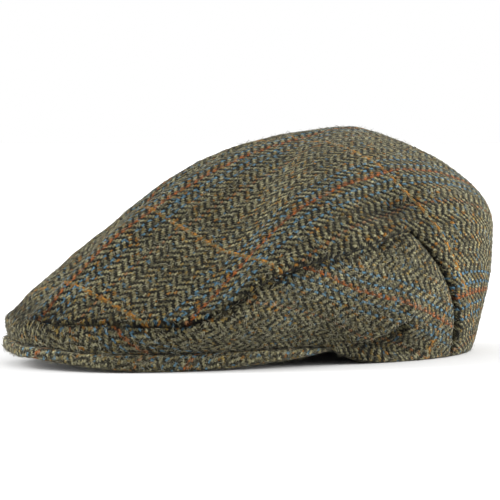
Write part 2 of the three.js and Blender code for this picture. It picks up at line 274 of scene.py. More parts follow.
UNDER = SeamLook(-1.0, 0.0, (0.80, 0.62), (1.1, 1.9), (0.18, 0.33), 4.5)
OVER = SeamLook(1.6, 1.8, (0.82, 0.82), (1.0, 1.3), (0.05, 0.18), 3.5)

FOLD = (
    Mark(-49.5, 1.90),
    Mark(-51.2, 1.89),
    Mark(-53.8, 1.86),
    Mark(-58.0, 1.835),
    Mark(-61.2, 1.78),
    Mark(-64.0, 1.745),
    Mark(-66.5, 1.71),
    Mark(-69.5, 1.685),
    Mark(-72.5, 1.62),
)

SMALL_FOLDS = (
    Dent(-65, 0.82, 11, 0.075, -0.023),
    Dent(6, 0.985, 16, 0.022, -0.018),
    Dent(-76, 0.93, 5, 0.10, -0.012),
    Dent(-39, 1.15, 2.2, 0.16, -0.006),
    Dent(-3.2, 1.02, 1.8, 0.07, -0.011),
    Dent(-7.2, 0.94, 1.8, 0.06, 0.009),
    Dent(-74, 1.56, 8, 0.08, 0.010),
)


def ease(t: Array) -> Array:
    """Runs smoothly from 0 to 1 as t does, and stays level outside."""
    t = np.clip(t, 0.0, 1.0)
    return t * t * (3.0 - 2.0 * t)


def mix(a: Array, b: Array, t: Array) -> Array:
    """The value a share t of the way from a to b."""
    return a + (b - a) * t


def bell(far: Array, width: Array | float) -> Array:
    """Falls smoothly from 1 at no distance towards 0 beyond a width."""
    return np.exp(-((far / width) ** 2))


def turned(a: Array, b: float) -> Array:
    """Signed difference between two azimuths in degrees, the short way round."""
    return np.mod(a - b + 180.0, 360.0) - 180.0


def curve(rows: Sequence, name: str) -> Callable[[Array], Array]:
    """Lays a smooth curve by azimuth through one column of a table, the same on both sides.

    Args:
        rows: Table rows that have an azimuth.
        name: The column that the curve passes through.

    Returns:
        A function from azimuths to values.
    """
    x = np.array([row.azimuth for row in rows], float)
    y = np.array([getattr(row, name) for row in rows], float)
    rise = np.diff(y) / np.diff(x)
    slope = np.zeros_like(y)
    before, after = rise[:-1], rise[1:]
    same = before * after > 0
    total = np.where(same, before + after, 1.0)
    slope[1:-1] = np.where(same, 2.0 * before * after / total, 0.0)

    def value(azimuth: Array) -> Array:
        """The curve's value at each azimuth."""
        a = np.minimum(np.abs(azimuth), x[-1])
        i = np.clip(np.searchsorted(x, a, side="left") - 1, 0, len(x) - 2)
        span = x[i + 1] - x[i]
        t = (a - x[i]) / span
        near, far = t * (1 - t) ** 2, t * t * (t - 1)
        return mix(y[i], y[i + 1], ease(t)) + span * (near * slope[i] + far * slope[i + 1])

    return value


class CrownShape:
    """The form that the cloth takes over the head, before it is cut into panels."""

    JOIN_HALF = 3.0
    PLAIN_TOP = 0.25
    PLAIN_HEM = 0.06

    def __init__(self, sizes: CapSizes) -> None:
        """Lays the smooth curves through the tables."""
        self.sizes = sizes
        self.reach = curve(SECTIONS, "reach")
        self.height = curve(SECTIONS, "height")
        self.roundness = curve(SECTIONS, "roundness")
        self.fullness = curve(SECTIONS, "fullness")
        self.belly = curve(SECTIONS, "belly")
        self.peak_reach = curve(PEAK_OUTLINE, "share")
        self.hem_height = curve(HEM_HEIGHTS, "share")
        self.peak_underside = curve(PEAK_UNDERSIDE, "share")

    def at(self, azimuth: Array, reach: Array, height: Array) -> Array:
        """The point at an azimuth, a distance out from the axis and a height."""
        a = np.radians(azimuth)
        x = self.sizes.section_axis - reach * np.cos(a)
        return np.stack(np.broadcast_arrays(x, reach * np.sin(a), height), -1)

    def plan_reach(self, azimuth: Array) -> Array:
        """Distance from the axis to the plan oval."""
        s, a = self.sizes, np.radians(azimuth)
        front, back = s.peak_front + s.section_axis, s.back_reach - s.section_axis
        along = np.where(np.cos(a) > 0, front, back)
        return 1.0 / np.hypot(np.cos(a) / along, np.sin(a) / s.half_width)

    def head_reach(self, azimuth: Array) -> Array:
        """Distance from the axis to the edge of the head opening."""
        s, a = self.sizes, np.radians(azimuth)
        c, d = np.cos(a) / s.head_half_length, np.sin(a) / s.head_half_width
        o = s.section_axis / s.head_half_length
        square = c * c + d * d
        return (c * o + np.sqrt(c * c * o * o + square * (1 - o * o))) / square

    def peak_edge_reach(self, azimuth: Array) -> Array:
        """Distance from the axis to the edge of the peak."""
        return self.plan_reach(azimuth) * self.peak_reach(azimuth)

    def hem_reach(self, azimuth: Array) -> Array:
        """Distance to the hem, which follows the peak in front and the head opening behind."""
        join = PEAK_OUTLINE[-1].azimuth
        on_peak = self.peak_edge_reach(azimuth) - self.sizes.peak_inset
        past = np.abs(azimuth) - join + self.JOIN_HALF
        return mix(on_peak, self.head_reach(azimuth), ease(past / (2 * self.JOIN_HALF)))

    def curl(self, azimuth: Array) -> Array:
        """How far the right side curls up."""
        s = self.sizes
        fade = ease((azimuth - s.curl_to) / (s.curl_end - s.curl_to))
        return s.curl * ease(azimuth / s.curl_from) * (1 - fade)

    def raised(self, points: Array) -> Array:
        """Lifts points by the soft point that the cloth stands up in behind the top."""
        s = self.sizes
        square = (points[..., 0] - s.point_back) ** 2 + points[..., 1] ** 2
        far = np.sqrt(square + s.point_softness**2) - s.point_softness
        lift = s.point_rise * ease(points[..., 2] / s.crown_height) * np.exp(-far / s.point_spread)
        return np.stack([points[..., 0], points[..., 1], points[..., 2] + lift], -1)

    def base(self, azimuth: Array, place: Array) -> Array:
        """Points of the crown before its dents and seams.

        Args:
            azimuth: Degrees from the front.
            place: 0 at the top, 1 at the shoulder, 2 at the hem.

        Returns:
            The points, in millimetres from the middle of the head opening.
        """
        s = self.sizes
        azimuth, place = np.broadcast_arrays(np.asarray(azimuth, float), np.asarray(place, float))
        reach = self.plan_reach(azimuth) * self.reach(azimuth)
        height = s.crown_height * self.height(azimuth) + self.curl(azimuth) * s.curl_above
        full = self.fullness(azimuth)
        turn = (math.pi / 2) * (1 - (1 - np.clip(place, 0, 1)) ** (0.5 / full))
        out_top = reach * np.sin(turn) ** (2 / self.roundness(azimuth))
        up_top = height + (s.crown_height - height) * np.clip(np.cos(turn), 0, 1) ** (2 * full)
        t = place - 1
        hem_up = s.crown_height * self.hem_height(azimuth) + self.curl(azimuth)
        swell = 4 * t * (1 - t) * self.belly(azimuth) * s.half_width
        out_low = mix(reach, self.hem_reach(azimuth), t * t) + swell
        out = np.where(place <= 1, out_top, out_low)
        up = np.where(place <= 1, up_top, mix(height, hem_up, t))
        return self.raised(self.at(azimuth, out, up))

    def rear_seam(self, place: Array) -> Array:
        """The azimuth of the seam behind the side panel, by place."""
        s = self.sizes
        t = 1 - (1 - np.clip(np.asarray(place, float) - 1, 0, 1)) ** s.rear_seam_turn
        return mix(s.corner_azimuth, s.hem_corner_azimuth, t)

    def moved(self, azimuth: Array, place: Array, length: Array) -> Array:
        """The place a length further down the cloth."""
        place = np.asarray(place, float)
        shoulder = self.base(azimuth, np.ones_like(place))
        above = np.linalg.norm(shoulder - self.base(azimuth, np.zeros_like(place)), axis=-1)
        below = np.linalg.norm(shoulder - self.base(azimuth, np.full_like(place, 2)), axis=-1)
        run = (place - 1) * np.where(place < 1, above, below) + length
        return np.clip(1 + run / np.where(run < 0, above, below), 0, 2)

    def outward(self, surface: Surface, azimuth: Array, place: Array, step: float = 1.1) -> Array:
        """The outward directions of a surface.

        Args:
            surface: A function from azimuths and places to points.
            azimuth: Degrees from the front.
            place: Places down the cloth.
            step: Spacing in millimetres of the points that the slope is taken from.

        Returns:
            Unit vectors.
        """
        azimuth, place = np.broadcast_arrays(np.asarray(azimuth, float), np.asarray(place, float))
        p = surface(azimuth, place)
        reach = np.hypot(p[..., 0] - self.sizes.section_axis, p[..., 1])
        turn = np.degrees(step / np.maximum(reach, step))
        along = surface(azimuth + turn, place) - surface(azimuth - turn, place)
        lower = surface(azimuth, self.moved(azimuth, place, step))
        upper = surface(azimuth, self.moved(azimuth, place, -step))
        n = np.cross(along, lower - upper)
        n /= np.maximum(np.linalg.norm(n, axis=-1, keepdims=True), 1e-9)
        n[reach < step] = (0, 0, 1)
        return n

    def dents(self, azimuth: Array, place: Array) -> Array:
        """How far the dents and swellings move the cloth outwards."""
        total = np.zeros(np.broadcast(azimuth, place).shape)
        for d in DENTS:
            a, b = turned(azimuth, d.azimuth) / d.wide, (place - d.place) / d.tall
            total += self.sizes.crown_height * d.depth * np.exp(-a * a - b * b)
        return total * ease(place / self.PLAIN_TOP) * ease((2 - place) / self.PLAIN_HEM)

    def dented(self, azimuth: Array, place: Array) -> Array:
        """Points of the crown with its dents, before its seams."""
        azimuth, place = np.broadcast_arrays(np.asarray(azimuth, float), np.asarray(place, float))
        move = self.dents(azimuth, place)[..., None]
        return self.base(azimuth, place) + self.outward(self.base, azimuth, place) * move


class Line(Enum):
    """A line that the cloth turns in at, with its depth and width in millimetres."""

    SEAM = (1.8, 3.2, 1.9)
    MIDDLE = (0.5, 2.2, 0.7)
    HEM = (0.0, 3.0, 1.3)

    @property
    def dip(self) -> float:
        """How far the cloth sinks towards the line."""
        return self.value[0]

    @property
    def spread(self) -> float:
        """How wide the sunk cloth is."""
        return self.value[1]

    @property
    def roll(self) -> float:
        """The radius that the edge rolls in with."""
        return self.value[2]


class SewnCrown:
    """The crown with its seams: the cloth sinks and rolls in at each of them."""

    SEAM_POINTS = 1600
    DOWN_POINTS = 400
    HEM_POINTS = 2400
    FOLD_POINTS = 240
    PUCKER_DEPTH = 0.16
    PUCKER_REACH = 6.5
    LUMP_DEPTH = 0.35
    LAP_END = 66.0
    LAP_FADE = 6.0
    LAP_REACH = 5.0
    LAP_BEHIND = 0.3
    LAP_OFF_HEM = 6.0
    SEAM_OFF_HEM = 3.0
    CLEAR_OF_HEM = 8.0
    # Painted shade along the middle seam (darkness and width), the darkest painted shade, and painted
    # shade in hollows (a share per depth sunk, up to a most)
    MIDDLE_SHADE = (0.35, 0.8)
    DARKEST = 0.93
    HOLLOW_DEPTH = 4.0
    HOLLOW_SHADE = 0.5
    INNER_SLACK = 0.7
    SQUARE_HEM = 9.0

    def __init__(self, shape: CrownShape) -> None:
        """Lays out the lines of the seams, the hem and the fold."""
        self.shape = shape
        self.tuck, self.corner = Tuck(), SoftCorner()
        s = shape.sizes
        front = np.linspace(-s.corner_azimuth, s.corner_azimuth, self.SEAM_POINTS)
        down = np.linspace(1, 2, self.DOWN_POINTS)
        rear = shape.rear_seam(down)
        hem = np.linspace(-180, 180, self.HEM_POINTS)
        self.seams = self._tree(
            [
                shape.base(front, np.ones_like(front)),
                shape.base(rear, down),
                shape.base(-rear, down),
            ]
        )
        self.middle = self._tree([shape.base(np.zeros_like(down), down)])
        self.hem = self._tree([shape.base(hem, np.full_like(hem, 2))])
        marks = np.array([(m.azimuth, m.place) for m in FOLD])
        along = np.linspace(0, len(FOLD) - 1, self.FOLD_POINTS)
        bends = np.stack([np.interp(along, np.arange(len(FOLD)), marks[:, k]) for k in (0, 1)])
        self.fold = self._tree([shape.base(bends[0], bends[1])])

    @staticmethod
    def _tree(parts: Sequence[Array]) -> kdtree.KDTree:
        """A search tree over the points of some lines."""
        points = np.concatenate(parts)
        tree = kdtree.KDTree(len(points))
        for i, p in enumerate(points):
            tree.insert(p, i)
        tree.balance()
        return tree

    @staticmethod
    def _far(tree: kdtree.KDTree, points: Array) -> Array:
        """Distance from each point to the nearest point of the lines."""
        return np.array([tree.find(p)[2] for p in points])

    @staticmethod
    def _sunk(line: Line, far: Array) -> Array:
        """How deep the cloth lies at a distance from a line."""
        inside = np.clip(1 - far / line.roll, 0, 1)
        rolled = line.roll * (1 - np.sqrt(np.clip(1 - inside**2, 0, 1)))
        return line.dip * bell(far, line.spread) + rolled

    def tucked(self, azimuth: Array, place: Array, far: Array) -> tuple[Array, Array]:
        """The fold low on the left side, where the cloth hangs over its own hem.

        Args:
            azimuth: Degrees from the front, one for each point.
            place: Places down the cloth.
            far: Distance of each point from the line of the fold.

        Returns:
            How far the fold moves the cloth outwards, and how dark the painted shade along and under it
            is.
        """
        t = self.tuck
        marks = np.array([(m.azimuth, m.place) for m in FOLD])[::-1]
        over = place < np.interp(azimuth, marks[:, 0], marks[:, 1])
        ends = ease((azimuth - marks[0, 0]) / t.end_run) * ease((marks[-1, 0] - azimuth) / t.end_run)
        swell = t.swell * (1 - bell(far, t.swell_from)) * bell(far, t.swell_to)
        dip = t.dip * bell(far, np.where(over, t.dip_above, t.dip_below))
        shade = t.shade * bell(far, np.where(over, t.shade_above, t.shade_below))
        shade = np.maximum(shade, np.where(over, 0, t.gloom) * bell(far, t.gloom_below))
        return (np.where(over, swell, 0) - dip) * ends, shade * ends

    def puckers(self, points: Array, far: Array) -> Array:
        """Small gathers that the stitches pull into the cloth near the seams."""
        wave = np.sin(points[:, 0] * 0.61 + 1.3 * np.sin(points[:, 2] * 0.21))
        wave += 0.7 * np.sin(points[:, 0] * 0.27 + points[:, 2] * 0.39 + 1.9)
        return self.PUCKER_DEPTH * wave * bell(far, self.PUCKER_REACH)

    def lumps(self, points: Array) -> Array:
        """The slight unevenness of soft cloth that has been handled."""
        x, y, z = points[:, 0], points[:, 1], points[:, 2]
        wave = np.sin(x * 0.085 + 1.1 * np.sin(y * 0.06)) * np.sin(z * 0.12 + y * 0.05 + 0.7)
        wave += 0.6 * np.sin(x * 0.19 + z * 0.16 + 2.1) * np.sin(y * 0.14 + 0.4)
        return self.LUMP_DEPTH * wave

    def small_folds(self, azimuth: Array, place: Array) -> Array:
        """Folds too slight for the main form."""
        total = np.zeros(azimuth.shape)
        for d in SMALL_FOLDS:
            a, b = turned(azimuth, d.azimuth) / d.wide, (place - d.place) / d.tall
            total += self.shape.sizes.crown_height * d.depth * np.exp(-a * a - b * b)
        return total

    def peaked(self, points: Array) -> Array:
        """How much more the cloth rises to a soft corner behind the top."""
        c = self.corner
        far = np.hypot(points[:, 0] - self.shape.sizes.point_back, points[:, 1])
        high = ease((points[:, 2] - c.from_height) / c.height_run)
        return c.rise * high * np.exp(-(np.sqrt(far**2 + c.softness**2) - c.softness) / c.spread)

    def lap(self, azimuth: Array, seam: Array, hem: Array, look: SeamLook) -> tuple[Array, Array]:
        """How the cloth laps at a seam: the top panel stands over the side panels.

        Args:
            azimuth: Degrees from the front, one for each point.
            seam: Distance of each point from the nearest seam.
            hem: Distance of each point from the hem.
            look: Which side of the seam the cloth is on.

        Returns:
            How far the lap moves the cloth outwards, and how dark the painted shade along the seam is.
        """
        lapped = 1 - ease((np.abs(azimuth) - self.LAP_END) / self.LAP_FADE)
        near = bell(seam, self.LAP_REACH) * ease(hem / self.LAP_OFF_HEM)
        near *= mix(self.LAP_BEHIND, 1, lapped)
        rise = look.rise * near
        if look.rise_from:
            rise *= 1 - bell(seam, look.rise_from)
        shade = mix(*look.deep, lapped) * bell(seam, mix(*look.deep_width, lapped))
        shade += mix(*look.soft, lapped) * bell(seam, look.soft_width)
        return rise, shade

    def outer(self, azimuth: Array, place: Array, middle: bool) -> tuple[Array, Array]:
        """The outer face of the sewn cloth.

        Args:
            azimuth: Degrees from the front, one for each point.
            place: Places down the cloth.
            middle: Whether the piece also ends at the seam down the middle of the front.

        Returns:
            The points, in millimetres, and how dark the painted shade of the seams, folds and hollows
            is at each.
        """
        shape = self.shape
        base = shape.base(azimuth, place)
        n = shape.outward(shape.base, azimuth, place)
        seam = self._far(self.seams, base)
        hem = self._far(self.hem, base)
        clear = ease(hem / self.CLEAR_OF_HEM)
        move = shape.dents(azimuth, place) + self.lumps(base) * clear + self.peaked(base)
        move += self.small_folds(azimuth, place) * clear
        move += self.puckers(base, seam) * clear
        move -= self._sunk(Line.SEAM, seam) * ease(hem / self.SEAM_OFF_HEM)
        move -= self._sunk(Line.HEM, hem)
        rise, shade = self.lap(azimuth, seam, hem, UNDER if middle else OVER)
        move += rise
        if middle:
            front = self._far(self.middle, base)
            move -= self._sunk(Line.MIDDLE, front) * ease(hem / self.SEAM_OFF_HEM)
            dark, width = self.MIDDLE_SHADE
            shade = np.maximum(shade, dark * bell(front, width))
            tuck, dark = self.tucked(azimuth, place, self._far(self.fold, base))
            move += tuck
            shade = np.maximum(shade, dark)
        # Painted shade in the hollows of the small folds, darker where they sink deeper
        sunk = -self.small_folds(azimuth, place)
        hollow = np.clip(sunk / self.HOLLOW_DEPTH, 0, self.HOLLOW_SHADE)
        return base + n * move[:, None], np.clip(shade + hollow, 0, self.DARKEST)

    def inner(self, azimuth: Array, place: Array, middle: bool) -> Array:
        """The inner face, a cloth's thickness inside the dented form.

        Args:
            azimuth: Degrees from the front, one for each point.
            place: Places down the cloth.
            middle: Whether the piece also ends at the seam down the middle of the front.

        Returns:
            The points, in millimetres.
        """
        shape = self.shape
        p = shape.dented(azimuth, place)
        n = shape.outward(shape.dented, azimuth, place)
        move = np.minimum(self.small_folds(azimuth, place), 0)
        if middle:
            far = self._far(self.fold, shape.base(azimuth, place))
            move += np.minimum(self.tucked(azimuth, place, far)[0], 0)
        p = p + n * move[:, None]
        flat = np.stack([n[:, 0], n[:, 1], np.zeros(len(n))], -1)
        flat /= np.maximum(np.linalg.norm(flat, axis=-1, keepdims=True), 1e-9)
        above = p[:, 2] - shape.base(azimuth, np.full_like(place, 2))[:, 2]
        square = np.where(place > 1, 1 - ease(above / self.SQUARE_HEM), 0)[:, None]
        n = mix(n, flat, square)
        n /= np.linalg.norm(n, axis=-1, keepdims=True)
        return p - n * (shape.sizes.cloth + self.INNER_SLACK)


class FlatPattern:
    """Where each point of the top panel lies on the flat cloth that it was cut from."""

    AROUND = 721
    DOWN = 161

    def __init__(self, shape: CrownShape) -> None:
        """Unrolls the crown: true lengths down each section and true widths round it."""
        self.azimuths = np.linspace(-180, 180, self.AROUND)
        self.places = np.linspace(0, 2, self.DOWN)
        points = shape.base(self.azimuths[:, None], self.places[None, :])
        run = np.linalg.norm(np.diff(points, axis=1), axis=-1)
        self.run = np.concatenate([np.zeros((self.AROUND, 1)), np.cumsum(run, 1)], 1)
        across = np.linalg.norm(np.diff(points, axis=0), axis=-1)
        slip = np.diff(self.run, axis=0)
        width = np.sqrt(np.maximum(across**2 - slip**2, 0))
        rate = width / np.maximum((self.run[1:] + self.run[:-1]) / 2, 1e-6)
        rate[:, 0] = rate[:, 1]
        turn = np.concatenate([np.zeros((1, self.DOWN)), np.cumsum(rate, 0)], 0)
        self.turn = turn - turn[self.AROUND // 2]

    def _look_up(self, table: Array, azimuth: Array, place: Array) -> Array:
        """Reads a table of the unrolled crown between its rows and columns."""
        i = (azimuth + 180) / 360 * (self.AROUND - 1)
        j = place / 2 * (self.DOWN - 1)
        i0 = np.clip(np.floor(i).astype(int), 0, self.AROUND - 2)
        j0 = np.clip(np.floor(j).astype(int), 0, self.DOWN - 2)
        s, t = i - i0, j - j0
        low = mix(table[i0, j0], table[i0, j0 + 1], t)
        return mix(low, mix(table[i0 + 1, j0], table[i0 + 1, j0 + 1], t), s)

    def flat(self, azimuth: Array, place: Array) -> Array:
        """Points on the flat cloth.

        Args:
            azimuth: Degrees from the front.
            place: Places down the cloth.

        Returns:
            Across (to the wearer's right) and along (to the front), in millimetres.
        """
        run = self._look_up(self.run, azimuth, place)
        turn = self._look_up(self.turn, azimuth, place)
        return np.stack([run * np.sin(turn), run * np.cos(turn)], -1)


class BandPattern:
    """Where each point of a side panel lies on the flat cloth: a strip cut on the slant."""

    MIDDLE_PLACE = 1.45
    HOME = 55.0
    END = 104
    LEAN_AT = (0, 8, 27, HOME, END)
    LEANS = (74.0, 60, 29.0, 19.5, 19.5)

    def __init__(self, shape: CrownShape, side: int) -> None:
        """Unrolls the middle line of the strip, which bends on the flat cloth towards the front."""
        self.shape, self.side = shape, side
        a = np.linspace(0, self.END, 10 * self.END + 1)
        line = shape.base(side * a, np.full_like(a, self.MIDDLE_PLACE))
        step = np.linalg.norm(np.diff(line, axis=0), axis=-1)
        self.azimuths = a
        lean = np.interp(a, self.LEAN_AT, self.LEANS)
        lean = np.radians(lean)[:-1] + np.diff(np.radians(lean)) / 2
        along = np.concatenate([[0], np.cumsum(step * np.cos(lean))])
        across = np.concatenate([[0], np.cumsum(step * np.sin(lean))])
        self.along, self.across, self.lean = along, across, np.append(lean, lean[-1])
        home = int(np.argmin(np.abs(a - self.HOME)))
        self.along -= along[home]
        self.across -= across[home]

    def flat(self, azimuth: Array, place: Array) -> Array:
        """Points on the flat cloth.

        Args:
            azimuth: Degrees from the front.
            place: Places down the cloth.

        Returns:
            Across the stripes and along them, in millimetres.
        """
        a = np.abs(azimuth)
        line = self.shape.base(self.side * a, np.full_like(a, self.MIDDLE_PLACE))
        point = self.shape.base(self.side * a, place)
        up = np.linalg.norm(point - line, axis=-1) * np.sign(self.MIDDLE_PLACE - place)
        along = np.interp(a, self.azimuths, self.along)
        across = np.interp(a, self.azimuths, self.across)
        lean = np.interp(a, self.azimuths, self.lean)
        return np.stack([across + up * np.cos(lean), along - up * np.sin(lean)], -1)


@dataclass(frozen=True)
class Yarn:
    """The colours of one yarn: what most of its wool is, and what is carded into it."""

    main: Colour
    other: Colour
    fleck: Colour


@dataclass(frozen=True)
class Tweed:
    """A herringbone tweed: a light warp, a dark weft and a coloured overcheck.

    Places of coloured threads are counted in threads from the middle of the pattern. Patches are
    repeats of soft noise to a thread.
    """

    # Noise scale and reach in threads of each waver of the weave, from slow to quick
    WAVERS = ((90.0, 1.5), (520.0, 1.3), (1500.0, 0.9))
    TWILL = 4.0
    WARP_VARIES = 0.50
    WEFT_VARIES = 0.45
    WORN = ((0.36, 0.65), (0.52, 1.0))
    SECOND_RUST = 0.65
    FAINT_RUST = 0.5
    RUBBED_RUST = 0.25
    SECOND_GOLD = 0.5
    PLAIN_SHARE = 0.945
    FLECK_DEPTH = 0.6
    # The share of the colour that the painted shade in the gaps between threads takes away
    GAP_DEPTH = 0.65
    WOOL_PATCH = 3.1
    FELT_PATCH = 0.9
    STRAND_PATCH = 2.2
    BROAD_PATCH = 0.045
    STREAK = (2.3, 0.8)
    STREAK_TONES = ((0.30, 0.25), (0.70, 2.0))
    STRAND_TONES = ((0.36, 0.15), (0.7, 2.3))
    TWIST = (1.9, 0.55)
    TWIST_BLEND = ((0.40, 0.0), (0.68, 1.0))
    CARDED = ((0.70, 0.0), (0.95, 0.85))

    name: str
    thread: float = 1.15
    chevron: int = 4
    repeat: int = 56
    rust_end: int = 0
    blue_ends: tuple[int, ...] = (4, 8, 48, 52)
    faint_end: int = 38
    gold_picks: tuple[int, ...] = ()
    centre: tuple[float, float] = (0.0, 0.0)
    felted: float = 0.3
    # How light this piece is painted, standing in for how the light falls on it: lower is painted
    # shade, higher painted light
    darker: float = 1.0
    light: Yarn = Yarn((0.118, 0.106, 0.051), (0.310, 0.290, 0.175), (0.180, 0.115, 0.022))
    dark: Yarn = Yarn((0.0045, 0.0050, 0.0040), (0.016, 0.016, 0.011), (0.055, 0.048, 0.030))
    rust: Colour = (0.30, 0.078, 0.013)
    blue: Colour = (0.090, 0.195, 0.270)
    gold: Colour = (0.40, 0.180, 0.03)
    fluff: Colour = (0.062, 0.058, 0.042)

    def material(self) -> bpy.types.Material:
        """Makes the cloth's material.

        Returns:
            A material that reads the piece's own flat pattern.
        """
        wiring = Wiring(self.name)
        u, v = self._threads(wiring)
        cell = self._weave(wiring, u, v)
        wiring.finish(Nap(), self._colour(wiring, cell), self._height(wiring, cell))
        return wiring.material

    def _threads(self, w: "Wiring") -> tuple[Socket, Socket]:
        """Counts threads across and along, with the waver of hand-woven cloth.

        Args:
            w: The node tree's wiring.

        Returns:
            The counts across and along.
        """
        uv = w.node("ShaderNodeUVMap")
        uv.uv_map = PATTERN
        place = uv.outputs["UV"]
        parts = w.split(place)
        wavers = []
        for scale, reach in self.WAVERS:
            wavers.append((w.split(w.noise(place, scale, 2.0).outputs["Color"]), reach))
        counts = []
        for k in (0, 1):
            per, start = 1 / (self.thread * MM), -self.centre[k] / self.thread
            count = w.math("MULTIPLY_ADD", parts[k], per, start)
            for waver, reach in wavers:
                count = w.math("ADD", count, w.math("MULTIPLY_ADD", waver[k], reach, -reach / 2))
            counts.append(count)
        return counts[0], counts[1]

    def _weave(self, w: "Wiring", u: Socket, v: Socket) -> "Cell":
        """Finds which thread is on top in a 2/2 herringbone, and where on it a point lies.

        Args:
            w: The node tree's wiring.
            u: Thread count across.
            v: Thread count along.

        Returns:
            Where the point lies.
        """
        i, j = w.math("FLOOR", u), w.math("FLOOR", v)
        fu, fv = w.math("SUBTRACT", u, i), w.math("SUBTRACT", v, j)
        column = w.math("FLOOR", w.math("DIVIDE", i, float(self.chevron)))
        odd = w.math("FLOORED_MODULO", column, 2.0)
        sign = w.math("MULTIPLY_ADD", odd, -2.0, 1.0)
        phase = w.math("FLOORED_MODULO", w.math("ADD", w.math("MULTIPLY", i, sign), j), self.TWILL)
        warp_up = w.math("LESS_THAN", phase, self.TWILL / 2 - 0.5)
        along_warp = w.math("MULTIPLY", w.math("ADD", phase, fv), 0.5)
        back = w.math("SUBTRACT", 1.0, fu)
        run = w.mix(odd, fu, back)
        beyond = w.math("SUBTRACT", phase, self.TWILL / 2)
        along_weft = w.math("MULTIPLY", w.math("ADD", beyond, run), 0.5)
        across = w.mix(warp_up, fv, fu)
        along = w.mix(warp_up, along_weft, along_warp)
        return Cell(u, v, i, j, warp_up, across, along)

    def _height(self, w: "Wiring", cell: "Cell") -> Socket:
        """The rounded tops of the threads, roughened by loose wool."""
        side = w.math("POWER", self._bow(w, cell.across), 0.5)
        length = w.math("POWER", self._bow(w, cell.along), 0.7)
        top = w.math("MULTIPLY", side, w.math("MULTIPLY_ADD", length, 0.75, 0.25))
        top = w.math("MULTIPLY", top, 1.0 - 0.5 * self.felted)
        wool = w.cloudy(cell, self.WOOL_PATCH, 3.0)
        return w.math("MULTIPLY_ADD", wool, 0.6, top)

    @staticmethod
    def _bow(w: "Wiring", t: Socket) -> Socket:
        """A hump over the range 0 to 1, 1 at its middle."""
        centred = w.math("MULTIPLY_ADD", t, 2.0, -1.0)
        return w.math("SUBTRACT", 1.0, w.math("MULTIPLY", centred, centred), clamp=True)

    @staticmethod
    def _on(w: "Wiring", count: Socket, thread: int, share: float = 1.0) -> Socket:
        """A share on one thread and 0 on the others."""
        mark = w.math("COMPARE", count, float(thread), 0.4)
        return mark if share == 1.0 else w.math("MULTIPLY", mark, share)

    def _warp(self, w: "Wiring", cell: "Cell", end: Socket) -> Socket:
        """The colour of the warp: light yarn, the blue and rust ends and ochre flecks.

        Args:
            w: The node tree's wiring.
            cell: Where a point lies among the threads.
            end: Which end of the repeat it is on.

        Returns:
            A colour.
        """
        colour = self._yarn(w, self.light, cell.i, cell.u, cell.v, self.WARP_VARIES)
        for count in self.blue_ends:
            colour = w.blend(self._on(w, end, count), colour, self.blue)
        worn = w.noise(w.combine(w.math("MULTIPLY", cell.v, 0.3), cell.i), 1.0, 2.0)
        worn = w.ramp(worn.outputs["Fac"], self.WORN)
        rust = w.math("MULTIPLY", self._on(w, end, self.rust_end), worn)
        colour = w.blend(rust, colour, self.rust)
        colour = w.blend(self._on(w, end, self.rust_end + 1, self.SECOND_RUST), colour, self.rust)
        colour = w.blend(self._on(w, end, self.faint_end, self.FAINT_RUST), colour, self.rust)
        tuft = w.white(w.combine(cell.i, w.math("FLOOR", w.math("MULTIPLY", cell.v, 0.5)), 7.0))
        fleck = w.math("GREATER_THAN", tuft.outputs["Value"], self.PLAIN_SHARE)
        return w.blend(fleck, colour, tuple(self.FLECK_DEPTH * c for c in self.gold))

    def _weft(self, w: "Wiring", cell: "Cell", end: Socket) -> Socket:
        """The colour of the weft: dark yarn, the gold picks and blue flecks.

        Args:
            w: The node tree's wiring.
            cell: Where a point lies among the threads.
            end: Which end of the repeat it is on, for rust wool that rubs off on the weft.

        Returns:
            A colour.
        """
        colour = self._yarn(w, self.dark, cell.j, cell.v, cell.u, self.WEFT_VARIES)
        colour = w.blend(self._on(w, end, self.rust_end, self.RUBBED_RUST), colour, self.rust)
        for count in self.gold_picks:
            colour = w.blend(self._on(w, cell.j, count), colour, self.gold)
            colour = w.blend(self._on(w, cell.j, count + 1, self.SECOND_GOLD), colour, self.gold)
        tuft = w.white(w.combine(w.math("FLOOR", w.math("MULTIPLY", cell.u, 0.5)), cell.j))
        fleck = w.math("GREATER_THAN", tuft.outputs["Value"], self.PLAIN_SHARE)
        return w.blend(fleck, colour, tuple(self.FLECK_DEPTH * c for c in self.blue))

    def _fluffed(self, w: "Wiring", cell: "Cell", colour: Socket) -> Socket:
        """The colour where felted wool hides the threads."""
        felt = w.cloudy(cell, self.FELT_PATCH, 4.0)
        share = w.ramp(felt, ((0.35, 0.2 * self.felted), (0.72, min(1.0, 1.7 * self.felted))))
        strands = w.ramp(w.cloudy(cell, self.STRAND_PATCH, 4.0), self.STRAND_TONES)
        return w.blend(share, colour, w.scaled(self.fluff, strands))

    def _speckle(self, w: "Wiring", cell: "Cell") -> Socket:
        """Light and dark streaks along each thread, as single hairs catch the light."""
        fine, long = self.STREAK
        u = w.mix(cell.warp_up, w.math("MULTIPLY", cell.u, long), w.math("MULTIPLY", cell.u, fine))
        v = w.mix(cell.warp_up, w.math("MULTIPLY", cell.v, fine), w.math("MULTIPLY", cell.v, long))
        place = w.combine(u, v, w.math("MULTIPLY", cell.warp_up, 9.0))
        return w.ramp(w.noise(place, 1.0, 2.5).outputs["Fac"], self.STREAK_TONES)

